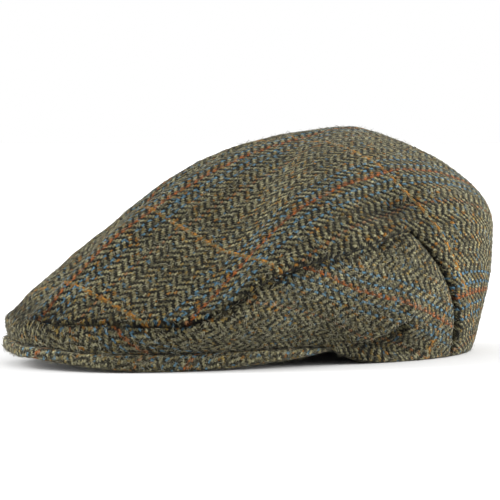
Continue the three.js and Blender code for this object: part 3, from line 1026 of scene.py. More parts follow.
    def _colour(self, w: "Wiring", cell: "Cell") -> Socket:
        """The colour of whichever yarn is on top, with painted shade in the gaps between threads,
        blurred by fluff, and darkened by the painted shade of seams, folds and hollows.

        Args:
            w: The node tree's wiring.
            cell: Where a point lies among the threads.

        Returns:
            A colour.
        """
        end = w.math("FLOORED_MODULO", cell.i, float(self.repeat))
        colour = w.blend(cell.warp_up, self._weft(w, cell, end), self._warp(w, cell, end))
        # Painted shade in the gaps between threads and where each float dips under the next
        gap = w.math("POWER", self._bow(w, cell.across), 0.3)
        ends = w.math("POWER", self._bow(w, cell.along), 0.25)
        dark, light = 1 - self.GAP_DEPTH, self.GAP_DEPTH
        colour = w.scaled(colour, w.math("MULTIPLY_ADD", w.math("MULTIPLY", gap, ends), light, dark))
        colour = self._fluffed(w, cell, colour)
        # A broad random mottle, times the piece's darker, which is painted light and shade for how the
        # light falls on that piece
        broad = w.cloudy(cell, self.BROAD_PATCH, 2.0)
        tone = w.math("MULTIPLY_ADD", broad, 0.35, 0.82 * self.darker)
        # The painted shade of seams, folds and hollows, read from the piece's mesh, darkens the colour
        mark = w.node("ShaderNodeAttribute")
        mark.attribute_name = SHADE
        lit = w.math("SUBTRACT", 1.0, mark.outputs["Fac"], clamp=True)
        streaks = self._speckle(w, cell)
        return w.scaled(w.scaled(colour, tone), w.math("MULTIPLY", streaks, lit))

    def _yarn(
        self,
        w: "Wiring",
        yarn: Yarn,
        count: Socket,
        across: Socket,
        along: Socket,
        vary: float,
    ) -> Socket:
        """The mottled colour of one set of threads.

        Args:
            w: The node tree's wiring.
            yarn: Its colours.
            count: Which thread a point is on.
            across: Thread counts across these threads.
            along: Thread counts along them.
            vary: How much one thread differs from the next.

        Returns:
            A colour.
        """
        fine, long = self.TWIST
        twist = w.combine(w.math("MULTIPLY", across, fine), w.math("MULTIPLY", along, long), count)
        blended = w.ramp(w.noise(twist, 1.0, 3.0).outputs["Fac"], self.TWIST_BLEND)
        colour = w.blend(blended, yarn.main, yarn.other)
        carded = w.white(w.combine(count, w.math("FLOOR", w.math("MULTIPLY", along, 0.5))))
        share = w.ramp(carded.outputs["Value"], self.CARDED)
        colour = w.blend(share, colour, yarn.fleck)
        own = w.white(w.combine(count, w.math("FLOOR", w.math("MULTIPLY", along, 0.12))))
        return w.scaled(colour, w.math("MULTIPLY_ADD", own.outputs["Value"], vary * 2, 1.0 - vary))


@dataclass(frozen=True)
class Nap:
    """How a woollen surface takes the light; its relief is in millimetres."""

    roughness: float = 0.95
    gloss: float = 0.05
    sheen: float = 0.05
    sheen_roughness: float = 0.4
    sheen_tint: Colour = (0.75, 0.75, 0.7)
    relief: float = 0.45
    relief_share: float = 0.85


@dataclass(frozen=True)
class Cell:
    """Where a point of the cloth lies among its threads."""

    u: Socket
    v: Socket
    i: Socket
    j: Socket
    warp_up: Socket
    across: Socket
    along: Socket


class Wiring:
    """Short ways to place and join the nodes of one material."""

    def __init__(self, name: str) -> None:
        """Starts an empty material."""
        self.material = bpy.data.materials.new(name)
        self.material.use_nodes = True
        self.tree = self.material.node_tree
        self.tree.nodes.clear()

    def node(self, kind: str) -> bpy.types.Node:
        """Adds a node of a kind."""
        return self.tree.nodes.new(kind)

    def feed(self, socket: Socket, value: object) -> None:
        """Joins a socket to an output, or sets its value.

        Args:
            socket: The input.
            value: Another node's output, a number or a colour.
        """
        if isinstance(value, bpy.types.NodeSocket):
            self.tree.links.new(value, socket)
        elif isinstance(value, (tuple, list)):
            size = len(socket.default_value)
            socket.default_value = (*value, 1.0)[:size]
        else:
            socket.default_value = value

    def math(
        self,
        operation: str,
        a: object,
        b: object = 0.0,
        c: object = 0.0,
        clamp: bool = False,
    ) -> Socket:
        """One sum on numbers.

        Args:
            operation: The name of the sum.
            a: Its first number.
            b: Its second number.
            c: Its third number.
            clamp: Whether the answer stays between 0 and 1.

        Returns:
            The answer.
        """
        node = self.node("ShaderNodeMath")
        node.operation, node.use_clamp = operation, clamp
        for socket, value in zip(node.inputs, (a, b, c)):
            self.feed(socket, value)
        return node.outputs[0]

    def mix(self, share: Socket, a: Socket, b: Socket) -> Socket:
        """The number a share of the way from a to b."""
        node = self.node("ShaderNodeMix")
        node.data_type = "FLOAT"
        for socket, value in zip(node.inputs[:1] + node.inputs[2:4], (share, a, b)):
            self.feed(socket, value)
        return node.outputs[0]

    def blend(self, share: Socket, a: object, b: object) -> Socket:
        """The colour a share of the way from a to b."""
        node = self.node("ShaderNodeMix")
        node.data_type = "RGBA"
        self.feed(node.inputs[0], share)
        self.feed(node.inputs[6], a)
        self.feed(node.inputs[7], b)
        return node.outputs[2]

    def scaled(self, colour: Socket, share: Socket) -> Socket:
        """A colour made darker or lighter by a number."""
        node = self.node("ShaderNodeVectorMath")
        node.operation = "SCALE"
        self.feed(node.inputs[0], colour)
        self.feed(node.inputs["Scale"], share)
        return node.outputs[0]

    def split(self, vector: Socket) -> list[Socket]:
        """The three parts of a vector."""
        node = self.node("ShaderNodeSeparateXYZ")
        self.feed(node.inputs[0], vector)
        return list(node.outputs)

    def combine(self, x: Socket, y: Socket, z: object = 0.0) -> Socket:
        """A vector made of its parts."""
        node = self.node("ShaderNodeCombineXYZ")
        for socket, value in zip(node.inputs, (x, y, z)):
            self.feed(socket, value)
        return node.outputs[0]

    def noise(self, place: Socket, scale: float, detail: float) -> bpy.types.Node:
        """Soft noise at a place."""
        node = self.node("ShaderNodeTexNoise")
        self.feed(node.inputs["Vector"], place)
        node.inputs["Scale"].default_value = scale
        node.inputs["Detail"].default_value = detail
        return node

    def cloudy(self, cell: Cell, scale: float, detail: float) -> Socket:
        """Soft noise over the cloth, sized in threads."""
        place = self.combine(self.math("MULTIPLY", cell.u, scale), self.math("MULTIPLY", cell.v, scale))
        return self.noise(place, 1.0, detail).outputs["Fac"]

    def white(self, place: Socket) -> bpy.types.Node:
        """A number of its own for each whole place."""
        node = self.node("ShaderNodeTexWhiteNoise")
        self.feed(node.inputs["Vector"], place)
        return node

    def ramp(self, value: Socket, stops: Sequence[tuple[float, float]]) -> Socket:
        """A number that climbs from one stop to the next."""
        node = self.node("ShaderNodeMapRange")
        (low, a), (high, b) = stops
        for name, number in (("From Min", low), ("From Max", high), ("To Min", a), ("To Max", b)):
            node.inputs[name].default_value = number
        self.feed(node.inputs["Value"], value)
        return node.outputs[0]

    def finish(self, nap: Nap, colour: Socket, height: Socket | None = None) -> None:
        """Ends the material in a woolly surface.

        Args:
            nap: How the surface takes the light.
            colour: The wool's colour.
            height: How high each point of the weave stands, from 0 to 1, if it is woven.
        """
        surface = self.node("ShaderNodeBsdfPrincipled")
        surface.inputs["Roughness"].default_value = nap.roughness
        surface.inputs["Specular IOR Level"].default_value = nap.gloss
        surface.inputs["Sheen Weight"].default_value = nap.sheen
        surface.inputs["Sheen Roughness"].default_value = nap.sheen_roughness
        surface.inputs["Sheen Tint"].default_value = (*nap.sheen_tint, 1.0)
        self.feed(surface.inputs["Base Color"], colour)
        if height is not None:
            bump = self.node("ShaderNodeBump")
            bump.inputs["Strength"].default_value = nap.relief_share
            bump.inputs["Distance"].default_value = nap.relief * MM
            self.feed(bump.inputs["Height"], height)
            self.feed(surface.inputs["Normal"], bump.outputs[0])
        out = self.node("ShaderNodeOutputMaterial")
        self.feed(out.inputs["Surface"], surface.outputs[0])


# Distances from an edge, in millimetres, of the rows of a fine net that follow the rolled cloth
EDGE_STEPS = (0.0, 0.1, 0.28, 0.55, 0.9, 1.3, 1.8, 2.6, 3.8, 5.4)


def spaced(edge: Sequence[float], run: float, count: int) -> Array:
    """Shares of a run from 0 to 1, close together near both ends.

    Args:
        edge: Distances of the close ones from an end, in millimetres.
        run: The whole run, in millimetres.
        count: How many stand from the last close one at one end to that at the other.

    Returns:
        The shares.
    """
    near = np.array(edge) / run
    middle = np.linspace(near[-1], 1 - near[-1], count)[1:-1]
    return np.concatenate([near, middle, 1 - near[::-1]])


class Grid:
    """A net of squares that is laid over a surface."""

    def __init__(self, bm: bmesh.types.BMesh, across: int, down: int) -> None:
        """Makes the net.

        Args:
            bm: The mesh that it is made in.
            across: How many crossings it has one way.
            down: How many it has the other way.
        """
        self.bm = bm
        made = bmesh.ops.create_grid(bm, x_segments=across - 1, y_segments=down - 1, size=1)
        self.verts = made["verts"]
        self.i = np.array([round((v.co.x + 1) / 2 * (across - 1)) for v in self.verts])
        self.j = np.array([round((v.co.y + 1) / 2 * (down - 1)) for v in self.verts])

    def lay(self, points: Array, flat: Array, shade: Array, sizes: CapSizes) -> None:
        """Moves the net onto the surface and marks where it lies on the flat cloth.

        Args:
            points: A point for each crossing, in millimetres.
            flat: Where each lies on the flat cloth, in millimetres.
            shade: How dark the painted shade of the seams and folds is at each.
            sizes: The cap's sizes, for where the head opening's middle stands.
        """
        dark = self.bm.verts.layers.float[SHADE]
        for vert, value in zip(self.verts, shade[self.i, self.j]):
            vert[dark] = value
        shift = np.array([sizes.rim_back, sizes.rim_aside, 0])
        place = (points + shift)[self.i, self.j] * MM
        for vert, point in zip(self.verts, place):
            vert.co = point
        layer = self.bm.loops.layers.uv.verify()
        pattern = flat[self.i, self.j] * MM
        for vert, (across, along) in zip(self.verts, pattern):
            for loop in vert.link_loops:
                loop[layer].uv = (across, along)


class Panel:
    """A cut and sewn piece of the cap."""

    def __init__(self, name: str, sizes: CapSizes) -> None:
        """Starts the piece's mesh."""
        self.name, self.sizes = name, sizes
        self.bm = bmesh.new()
        self.bm.verts.layers.float.new(SHADE)

    def piece(self, finish: Tweed) -> bpy.types.Object:
        """Turns the mesh into a piece of the scene.

        Args:
            finish: The cloth it is cut from.

        Returns:
            The piece, in place of its solid.
        """
        mesh = bpy.data.meshes.new(self.name + "_cloth")
        for face in self.bm.faces:
            face.smooth = True
        self.bm.to_mesh(mesh)
        self.bm.free()
        mesh.uv_layers[0].name = PATTERN
        mesh.materials.append(finish.material())
        piece = bpy.data.objects.new(self.name + "_cloth", mesh)
        bpy.context.scene.collection.objects.link(piece)
        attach(piece, "root")
        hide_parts(self.name)
        LOG.info("%s: %d faces", piece.name, len(mesh.polygons))
        return piece

    def build(self) -> None:
        """Makes the mesh, in its own way for each kind of panel."""
        raise NotImplementedError

    def close(self) -> None:
        """Joins the edges of the outer and inner faces and turns every face outwards."""
        open_edges = [e for e in self.bm.edges if e.is_boundary]
        bmesh.ops.bridge_loops(self.bm, edges=open_edges)
        bmesh.ops.recalc_face_normals(self.bm, faces=self.bm.faces)


class SewnPanel(Panel):
    """A panel of single cloth that is laid over the crown, with an outer and an inner face."""

    CORNER_CROWDING = 1.2
    AT_BACK = -179.999

    def __init__(
        self,
        name: str,
        sizes: CapSizes,
        crown: SewnCrown,
        pattern: FlatPattern | BandPattern,
        middle: bool,
    ) -> None:
        """Keeps what the panel is laid over.

        Args:
            name: The node that it replaces.
            sizes: The cap's sizes.
            crown: The sewn crown.
            pattern: Where its points lie on the flat cloth.
            middle: Whether it also ends at the seam down the middle of the front.
        """
        super().__init__(name, sizes)
        self.crown, self.pattern, self.middle = crown, pattern, middle

    def _lay(self, azimuth: Array, place: Array, fine: bool) -> None:
        """Lays one net on the outer or the inner face.

        Args:
            azimuth: Azimuth at each crossing, as rows by columns.
            place: Place at each crossing.
            fine: Whether this is the outer face.
        """
        a, p = azimuth.ravel(), place.ravel()
        # Both halves take the same azimuth at the middle of the back, so that their edges meet
        met = np.where(a < self.AT_BACK, 180.0, a)
        if fine:
            points, shade = self.crown.outer(met, p, self.middle)
        else:
            points, shade = self.crown.inner(met, p, self.middle), 0 * p
        flat = self.pattern.flat(a, np.clip(p, 0, 2))
        size = azimuth.shape
        grid = Grid(self.bm, *size)
        grid.lay(points.reshape(*size, 3), flat.reshape(*size, 2), shade.reshape(size), self.sizes)


@dataclass(frozen=True)
class TopNet:
    """How closely one face of the top panel is divided; edge steps are in millimetres."""

    front: int
    back: int
    up: int
    down: int
    edge: tuple[float, ...]
    seam_edge: tuple[float, ...]


class TopPanel(SewnPanel):
    """The one-piece top, from the front seam over the crown to the hem behind."""

    OUTSIDE = TopNet(161, 61, 76, 50, EDGE_STEPS, EDGE_STEPS)
    INSIDE = TopNet(81, 31, 30, 24, (0.0,), (0.0, 2.6))
    BACK_RUN = 130.0
    LOWER_DEPTH = 55.0
    WELD = 0.02

    def __init__(self, sizes: CapSizes, crown: SewnCrown) -> None:
        """Keeps the crown that the panel is laid over."""
        super().__init__("crown_top", sizes, crown, FlatPattern(crown.shape), False)

    def _upper(self, net: TopNet, back: Array, fine: bool) -> None:
        """Lays the part above the seam, all round.

        Args:
            net: How closely it is divided.
            back: Shares of the way from the corner to the middle of the back.
            fine: Whether this is the outer face.
        """
        shape, corner = self.crown.shape, self.sizes.corner_azimuth
        t = np.linspace(-1, 1, net.front)
        front = corner * np.sign(t) * np.abs(t) ** self.CORNER_CROWDING
        side = mix(corner, 180, back)
        around = np.concatenate([-side[::-1], front[1:-1], side])
        seam = shape.base(around, np.ones_like(around))
        reach = np.linalg.norm(seam - shape.base(around, 0 * around), axis=-1)
        rows = [1 - d / reach for d in net.edge]
        rows += [(1 - t) * rows[-1] for t in np.linspace(0, 1, net.up)[1:]]
        place = np.stack(rows[::-1], 1)
        self._lay(np.repeat(around[:, None], place.shape[1], 1), place, fine)

    def _lower(self, net: TopNet, back: Array, fine: bool) -> None:
        """Lays the two halves below the shoulder, from the rear seams to the middle of the back.

        Args:
            net: How closely they are divided.
            back: Shares of the way from the seam to the middle of the back.
            fine: Whether this is the outer face.
        """
        low = 2 - np.array(net.edge[::-1]) / self.LOWER_DEPTH
        down = np.concatenate([np.linspace(1, low[0], net.down)[:-1], low])
        seam = self.crown.shape.rear_seam(down)
        azimuth = mix(seam[None, :], 180.0, back[:, None])
        place = np.repeat(down[None, :], len(back), 0)
        self._lay(-azimuth[::-1], place[::-1], fine)
        self._lay(azimuth, place, fine)

    def build(self) -> None:
        """Makes the outer and inner faces and joins them round the seam and the hem."""
        for net, fine in ((self.OUTSIDE, True), (self.INSIDE, False)):
            start = set(self.bm.verts)
            near = np.array(net.seam_edge) / self.BACK_RUN
            back = np.concatenate([near, np.linspace(near[-1], 1, net.back)[1:]])
            self._upper(net, back, fine)
            self._lower(net, back, fine)
            fresh = [v for v in self.bm.verts if v not in start]
            bmesh.ops.remove_doubles(self.bm, verts=fresh, dist=self.WELD * MM)
        self.close()


@dataclass(frozen=True)
class SideNet:
    """How closely one face of a side panel is divided; edge steps are in millimetres."""

    long: int
    deep: int
    edge: tuple[float, ...]


class SidePanel(SewnPanel):
    """One of the two side panels, which meet over the middle of the front."""

    OUTSIDE = SideNet(190, 64, EDGE_STEPS)
    INSIDE = SideNet(60, 16, (0.0, 2.0))
    RUN = 200.0
    DEPTH = 42.0

    def __init__(self, name: str, side: int, sizes: CapSizes, crown: SewnCrown) -> None:
        """Keeps which side it is on (-1 left, 1 right) and the crown that it is laid over."""
        super().__init__(name, sizes, crown, BandPattern(crown.shape, side), True)
        self.side = side

    def build(self) -> None:
        """Makes the outer and inner faces and joins them all round."""
        for net, fine in ((self.OUTSIDE, True), (self.INSIDE, False)):
            long = spaced(net.edge, self.RUN, net.long) ** self.CORNER_CROWDING
            place = 1 + spaced(net.edge, self.DEPTH, net.deep)
            seam = self.crown.shape.rear_seam(place)
            azimuth = self.side * long[:, None] * seam[None, :]
            place = np.repeat(place[None, :], len(long), 0)
            if self.side < 0:
                azimuth, place = azimuth[::-1], place[::-1]
            self._lay(azimuth, place, fine)
        self.close()


class Peak(Panel):
    """The stiff peak, a board covered with the cloth.

    Lengths are millimetres and angles degrees. The shares are of the peak's height or width at its
    lip, and the powers square off the round of the lip.
    """

    END = 46.2
    END_SLACK = 0.3
    TAPER = 3.4
    END_THICKNESS = 0.30
    BIAS = 58.0
    COLUMNS = 261
    CROWDING = 0.35
    FACE_STEPS = 18
    LIP_STEPS = 22
    UNDER_HEM = 0.2
    BOARD_SHARE = 0.8
    LIP_OF_HEIGHT = 0.5
    LIP_OF_WIDTH = 0.45
    FLAT_LIP = 1.15
    POWER_OUT = 0.72
    POWER_UP = 0.8
    WELD = 0.004

    def __init__(self, sizes: CapSizes, shape: CrownShape) -> None:
        """Keeps the form that the peak follows."""
        super().__init__("peak", sizes)
        self.shape = shape

    def _heights(self, azimuth: Array, width: Array) -> tuple[Array, Array, Array]:
        """Where the top and the bottom of the lip lie, and how far the top rises behind it.

        Args:
            azimuth: Degrees from the front.
            width: The peak's width at each azimuth.

        Returns:
            The top, the bottom and the rise.
        """
        s, shape = self.sizes, self.shape
        top = shape.base(azimuth, np.full_like(azimuth, 2.0))[:, 2] - self.UNDER_HEM
        bottom = s.crown_height * shape.peak_underside(azimuth) + shape.curl(azimuth)
        to_end = np.clip((self.END + self.END_SLACK - np.abs(azimuth)) / self.TAPER, 0, 1)
        thin = mix(self.END_THICKNESS, 1, np.sqrt(to_end))
        rise = s.peak_inner_rise * ease((width - s.peak_flat_run) / s.peak_rise_run)
        return top, top - (top - bottom) * thin, rise

    def _section(self, azimuth: Array) -> tuple[Array, Array]:
        """The outline of the peak's section, from its inner side out over the top and back below.

        Args:
            azimuth: Degrees from the front.

        Returns:
            Reach and height at each azimuth and step of the outline.
        """
        s = self.sizes
        edge = self.shape.peak_edge_reach(azimuth)
        inner = self.shape.head_reach(azimuth) + s.head_clearance
        inner = np.minimum(inner, edge - s.peak_least_width)
        width = edge - inner
        top, bottom, rise = self._heights(azimuth, width)
        height = top - bottom
        inner_bottom = top + rise - np.minimum(s.peak_board, height * self.BOARD_SHARE)
        lip = np.minimum(self.LIP_OF_HEIGHT * height, self.LIP_OF_WIDTH * width)
        reach, up = [], []
        for t in np.linspace(0, 1, self.FACE_STEPS):
            reach.append(mix(inner, edge - lip, t))
            up.append(top + rise * (1 - ease(t * self.FLAT_LIP)))
        for t in np.linspace(0, 1, self.LIP_STEPS)[1:-1]:
            out, level = math.sin(math.pi * t), math.cos(math.pi * t)
            reach.append(edge - lip + lip * out**self.POWER_OUT)
            squared = math.copysign(abs(level) ** self.POWER_UP, level)
            up.append(bottom + height / 2 * (1 + squared))
        for t in np.linspace(0, 1, self.FACE_STEPS):
            reach.append(mix(edge - lip, inner, t))
            up.append(mix(bottom, inner_bottom, ease(t)))
        reach.append(reach[0])
        up.append(up[0])
        return np.stack(reach, 1), np.stack(up, 1)

    def _flat(self, points: Array) -> Array:
        """Where each point lies on the flat cloth, which is cut on the slant.

        Args:
            points: The points of the board, as rows along the lip by columns round the section.

        Returns:
            Across the stripes and along them, in millimetres.
        """
        lip = self.FACE_STEPS + self.LIP_STEPS // 2 - 1
        run = np.linalg.norm(np.diff(points, axis=1), axis=-1)
        run = np.concatenate([np.zeros((len(points), 1)), np.cumsum(run, 1)], 1)
        run -= run[:, lip : lip + 1]
        step = np.linalg.norm(np.diff(points[:, lip], axis=0), axis=-1)
        along = np.concatenate([[0], np.cumsum(step)])[:, None]
        c, d = math.cos(math.radians(self.BIAS)), math.sin(math.radians(self.BIAS))
        return np.stack([run * c - along * d, run * d + along * c], -1)

    def build(self) -> None:
        """Lays a net round the board and closes its two ends."""
        t = np.linspace(-1, 1, self.COLUMNS)
        azimuth = self.END * ((1 + self.CROWDING) * t - self.CROWDING * t**3)
        reach, up = self._section(azimuth)
        points = self.shape.at(azimuth[:, None], reach, up)
        grid = Grid(self.bm, *reach.shape)
        grid.lay(points, self._flat(points), np.zeros_like(reach), self.sizes)
        bmesh.ops.remove_doubles(self.bm, verts=self.bm.verts, dist=self.WELD * MM)
        bmesh.ops.holes_fill(self.bm, edges=[e for e in self.bm.edges if e.is_boundary], sides=0)
        bmesh.ops.recalc_face_normals(self.bm, faces=self.bm.faces)


@dataclass(frozen=True)
class WoolFinish:
    """The colours of loose wool, from its darkest fibres to its palest."""

    name: str = "loose_wool"
    dark: Colour = (0.018, 0.017, 0.012)
    pale: Colour = (0.42, 0.40, 0.29)
    nap: Nap = Nap(roughness=0.9, gloss=0.15, sheen=0.0)

    def material(self) -> bpy.types.Material:
        """Makes the wool's material, or gives the one that is there."""
        if self.name in bpy.data.materials:
            return bpy.data.materials[self.name]
        w = Wiring(self.name)
        tint = w.node("ShaderNodeAttribute")
        tint.attribute_name = TINT
        w.finish(self.nap, w.blend(tint.outputs["Fac"], self.dark, self.pale))
        return w.material


@dataclass(frozen=True)
class WoolSizes:
    """Sizes of the loose fibres, in millimetres and degrees, and how they vary."""

    least: float = 1.2
    most: float = 4.0
    thick: float = 0.075
    thick_range: tuple[float, float] = (0.6, 1.3)
    along: tuple[float, float, float] = (0.7, 1.0, 0.3)
    sunk: float = 0.04
    lift: float = 0.35
    stray: float = 0.8
    stray_share: float = 0.35
    end_lift: float = -0.5
    stray_end_lift: float = 0.8
    bend: float = 70.0
    over_floor: float = 0.1
    pale_power: float = 1.6
    off_seams: float = 3.0


@dataclass(frozen=True)
class Fuzz:
    """How many loose fibres a piece has, and the seed that they are drawn with."""

    count: int
    seed: int


class LooseWool:
    """Fine fibres that stand out of one piece of cloth."""

    SIDES = 3
    SPACING = 4
    MIDDLE = Vector((0.028, 0.0, 0.025))

    def __init__(self, cloth: bpy.types.Object, fuzz: Fuzz) -> None:
        """Keeps the cloth they grow from and how many there are."""
        self.cloth, self.count = cloth, fuzz.count
        self.sizes = WoolSizes()
        self.random = np.random.default_rng(fuzz.seed)

    def _roots(self) -> tuple[Array, Array]:
        """Picks points on the outer face of the cloth, away from seams and folds.

        Returns:
            The points and the outward direction at each.
        """
        faces = self.cloth.data.polygons
        centre, normal = np.empty(len(faces) * 3), np.empty(len(faces) * 3)
        area = np.empty(len(faces))
        faces.foreach_get("center", centre)
        faces.foreach_get("normal", normal)
        faces.foreach_get("area", area)
        centre, normal = centre.reshape(-1, 3), normal.reshape(-1, 3)
        facing = np.einsum("ij,ij->i", centre - np.array(self.MIDDLE), normal) > 0
        shade = np.empty(len(self.cloth.data.vertices))
        self.cloth.data.attributes[SHADE].data.foreach_get("value", shade)
        corner = np.array([face.vertices[0] for face in faces])
        weight = np.where(facing, area, 0) * (1 - shade[corner]) ** self.sizes.off_seams
        picked = self.random.choice(len(faces), self.count, p=weight / weight.sum())
        spread = np.sqrt(area[picked])[:, None] * self.random.uniform(-0.5, 0.5, (self.count, 3))
        n = normal[picked]
        spread -= n * np.einsum("ij,ij->i", spread, n)[:, None]
        return centre[picked] + spread, n

    def _paths(self) -> Array:
        """Draws how each fibre lies.

        Returns:
            Three points along each fibre, in metres.
        """
        s, pick = self.sizes, self.random
        root, n = self._roots()
        any_way = pick.normal(size=(self.count, 3))
        first = np.cross(n, any_way)
        first /= np.linalg.norm(first, axis=1, keepdims=True)
        bend = np.radians(pick.uniform(-s.bend, s.bend, self.count))[:, None]
        second = first * np.cos(bend) + np.cross(n, first) * np.sin(bend)
        half = pick.uniform(s.least, s.most, self.count)[:, None] * MM / 2
        stray = pick.random(self.count)[:, None] < s.stray_share
        up = np.where(stray, s.stray, s.lift) * pick.random((self.count, 1)) * MM
        start = root - n * s.sunk * MM
        middle = start + first * half + n * up
        end = middle + second * half + n * up * np.where(stray, s.stray_end_lift, s.end_lift)
        return np.stack([start, middle, end], 1)

    def _row(self) -> bpy.types.Mesh:
        """Makes one fibre and doubles it until there are enough, in a row up the z axis.

        Returns:
            The mesh, with each fibre two long and two wide.
        """
        bm = bmesh.new()
        bmesh.ops.create_cone(bm, cap_ends=True, segments=self.SIDES, radius1=1, radius2=1, depth=2)
        rising = [e for e in bm.edges if abs(e.verts[0].co.z - e.verts[1].co.z) > 1]
        bmesh.ops.subdivide_edges(bm, edges=rising, cuts=1, use_grid_fill=False)
        for step in range(math.ceil(math.log2(self.count))):
            made = bmesh.ops.duplicate(bm, geom=bm.verts[:] + bm.edges[:] + bm.faces[:])
            for vert in (g for g in made["geom"] if isinstance(g, bmesh.types.BMVert)):
                vert.co.z += self.SPACING * 2**step
        spare = [v for v in bm.verts if v.co.z > self.SPACING * self.count - 2]
        bmesh.ops.delete(bm, geom=spare, context="VERTS")
        mesh = bpy.data.meshes.new(self.cloth.name.replace("_cloth", "_wool"))
        bm.to_mesh(mesh)
        bm.free()
        return mesh

    def _mesh(self) -> bpy.types.Mesh:
        """Lays each fibre of the row along its path.

        Returns:
            The mesh, with a tint of its own for each fibre.
        """
        s, mesh = self.sizes, self._row()
        place = np.empty(len(mesh.vertices) * 3)
        mesh.vertices.foreach_get("co", place)
        place = place.reshape(-1, 3)
        fibre = np.round((place[:, 2] + 1) // self.SPACING).astype(int)
        ring = np.round(place[:, 2] - self.SPACING * fibre + 1).astype(int)
        path = self._paths()
        way = np.stack([path[:, 1] - path[:, 0], path[:, 2] - path[:, 0], path[:, 2] - path[:, 1]], 1)
        way /= np.linalg.norm(way, axis=2, keepdims=True)
        side = np.cross(way, self.random.normal(size=(self.count, 1, 3)))
        side /= np.linalg.norm(side, axis=2, keepdims=True)
        other = np.cross(way, side)
        thick = np.array(s.along)[None, :] * self.random.uniform(*s.thick_range, (self.count, 1))
        thick = (thick * s.thick * MM)[fibre, ring][:, None]
        out = side[fibre, ring] * place[:, :1] + other[fibre, ring] * place[:, 1:2]
        laid = path[fibre, ring] + out * thick
        laid[:, 2] = np.maximum(laid[:, 2], s.over_floor * MM)
        mesh.vertices.foreach_set("co", laid.ravel())
        tint = mesh.attributes.new(TINT, "FLOAT", "POINT")
        tint.data.foreach_set("value", (self.random.random(self.count) ** s.pale_power)[fibre])
        mesh.update()
        return mesh

    def piece(self, finish: WoolFinish) -> bpy.types.Object:
        """Adds the fibres to the scene with the cloth's piece of the cap.

        Args:
            finish: The colours of the wool.

        Returns:
            The fibres as one piece.
        """
        node = self.cloth.name.removesuffix("_cloth")
        mesh = self._mesh()
        mesh.materials.append(finish.material())
        piece = bpy.data.objects.new(mesh.name, mesh)
        bpy.context.scene.collection.objects.link(piece)
        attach(piece, "root")
        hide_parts(node)
        LOG.info("%s: %d fibres", piece.name, self.count)
        return piece


@dataclass(frozen=True)
class SoftSun:
    """A soft, far light: where it stands from the cap, how wide it looks and its strength."""

    name: str
    azimuth: float
    elevation: float
    softness: float
    power: float


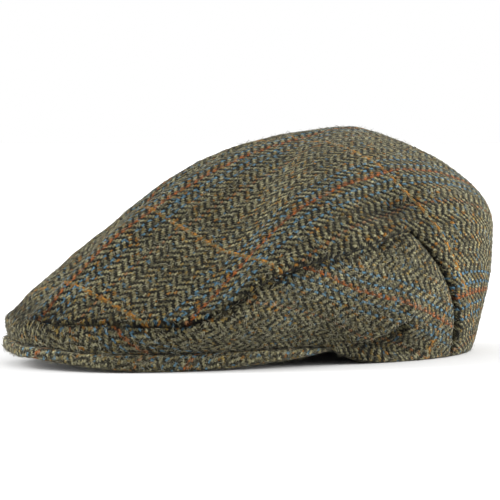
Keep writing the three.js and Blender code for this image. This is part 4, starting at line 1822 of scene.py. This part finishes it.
@dataclass(frozen=True)
class Studio:
    """A plain pale floor, soft light and the camera; angles in degrees, lengths in metres."""

    azimuth: float = -40.0
    elevation: float = 2.5
    distance: float = 1.4
    lens: float = 199.6
    sensor: float = 36.0
    target: tuple[float, float, float] = (0.003, 0.0, 0.05)
    shift: tuple[float, float] = (-0.0059, 0.0111)
    clip: tuple[float, float] = (0.05, 100.0)
    floor_radius: float = 30.0
    floor_sides: int = 96
    floor_colour: Colour = (0.7, 0.7, 0.7)
    floor_roughness: float = 0.9
    floor_gloss: float = 0.1
    sky: Colour = (1.0, 1.0, 1.0)
    sun_distance: float = 1.6
    suns: tuple[SoftSun, ...] = (
        SoftSun("behind_left", -134, 24, 50, 5.0),
        SoftSun("behind_right", 66, 12, 40, 9.5),
    )

    @staticmethod
    def _toward(azimuth: float, elevation: float) -> Vector:
        """The direction from the cap to a point seen at an azimuth and elevation."""
        a, e = math.radians(azimuth), math.radians(elevation)
        return Vector((math.sin(a) * math.cos(e), -math.cos(a) * math.cos(e), math.sin(e)))

    def floor(self) -> None:
        """Lays the floor."""
        bm = bmesh.new()
        sides, radius = self.floor_sides, self.floor_radius
        bmesh.ops.create_circle(bm, cap_ends=True, segments=sides, radius=radius)
        mesh = bpy.data.meshes.new("floor")
        bm.to_mesh(mesh)
        bm.free()
        floor = bpy.data.objects.new("floor", mesh)
        bpy.context.scene.collection.objects.link(floor)
        material = bpy.data.materials.new("pale_floor")
        material.use_nodes = True
        surface = material.node_tree.nodes["Principled BSDF"]
        surface.inputs["Base Color"].default_value = (*self.floor_colour, 1)
        surface.inputs["Roughness"].default_value = self.floor_roughness
        surface.inputs["Specular IOR Level"].default_value = self.floor_gloss
        mesh.materials.append(material)

    def light(self, sun: SoftSun) -> None:
        """Hangs one soft light, facing the cap."""
        lamp = bpy.data.lights.new(sun.name, "SUN")
        lamp.angle, lamp.energy = math.radians(sun.softness), sun.power
        holder = bpy.data.objects.new(sun.name, lamp)
        self._face(holder, self._toward(sun.azimuth, sun.elevation), self.sun_distance)

    def _face(self, thing: bpy.types.Object, toward: Vector, distance: float) -> None:
        """Stands a light or the camera off the cap, facing it.

        Args:
            thing: The light or camera.
            toward: The direction from the cap to it.
            distance: How far off it stands.
        """
        thing.location = Vector(self.target) + toward * distance
        thing.rotation_euler = toward.to_track_quat("Z", "Y").to_euler()
        bpy.context.scene.collection.objects.link(thing)

    def set_up(self) -> None:
        """Lays the floor, hangs the lights and stands the camera."""
        scene = bpy.context.scene
        self.floor()
        scene.world = bpy.data.worlds.new("studio")
        scene.world.use_nodes = True
        sky = scene.world.node_tree.nodes["Background"]
        sky.inputs["Color"].default_value = (*self.sky, 1)
        sky.inputs["Strength"].default_value = 1.0
        for sun in self.suns:
            self.light(sun)
        scene.view_settings.view_transform = "Standard"
        data = bpy.data.cameras.new("camera")
        data.lens, data.sensor_width = self.lens, self.sensor
        data.shift_x, data.shift_y = self.shift
        data.clip_start, data.clip_end = self.clip
        camera = bpy.data.objects.new("camera", data)
        self._face(camera, self._toward(self.azimuth, self.elevation), self.distance)
        scene.camera = camera


class Cloth(Enum):
    """The tweed of each kind of piece, and where the overcheck falls on it. All are one cloth; darker
    paints each piece lighter or darker for how the light falls on it.
    """

    TOP = Tweed(
        "crown_top_tweed",
        gold_picks=(167, 114, 27, -35, -87),
        centre=(-8.0, 0.0),
        felted=0.14,
        darker=0.565,
    )
    BAND = Tweed(
        "side_panel_tweed",
        gold_picks=(0, 87, 141),
        centre=(4.0, 60.0),
        felted=0.20,
        darker=0.66,
    )
    PEAK = Tweed("peak_tweed", felted=0.4, darker=1.02)


TOP_FUZZ = Fuzz(13800, 11)
LEFT_FUZZ = Fuzz(6000, 22)
RIGHT_FUZZ = Fuzz(6000, 24)
PEAK_FUZZ = Fuzz(5000, 31)


def dress(panel: Panel, cloth: Cloth, fuzz: Fuzz) -> None:
    """Builds a panel, covers it in its cloth and lets loose wool stand out of it.

    Args:
        panel: The panel.
        cloth: The cloth it is cut from.
        fuzz: Its loose wool.
    """
    panel.build()
    LooseWool(panel.piece(cloth.value), fuzz).piece(WoolFinish())


def main() -> None:
    """Builds the cap's pieces in order and sets the studio up round them."""
    logging.basicConfig(level=logging.INFO, format="%(message)s")
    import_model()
    sizes = CapSizes()
    shape = CrownShape(sizes)
    crown = SewnCrown(shape)
    dress(TopPanel(sizes, crown), Cloth.TOP, TOP_FUZZ)
    dress(SidePanel("side_panel_left", -1, sizes, crown), Cloth.BAND, LEFT_FUZZ)
    dress(SidePanel("side_panel_right", 1, sizes, crown), Cloth.BAND, RIGHT_FUZZ)
    dress(Peak(sizes, shape), Cloth.PEAK, PEAK_FUZZ)
    Studio().set_up()
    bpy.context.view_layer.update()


if __name__ == "__main__":
    main()
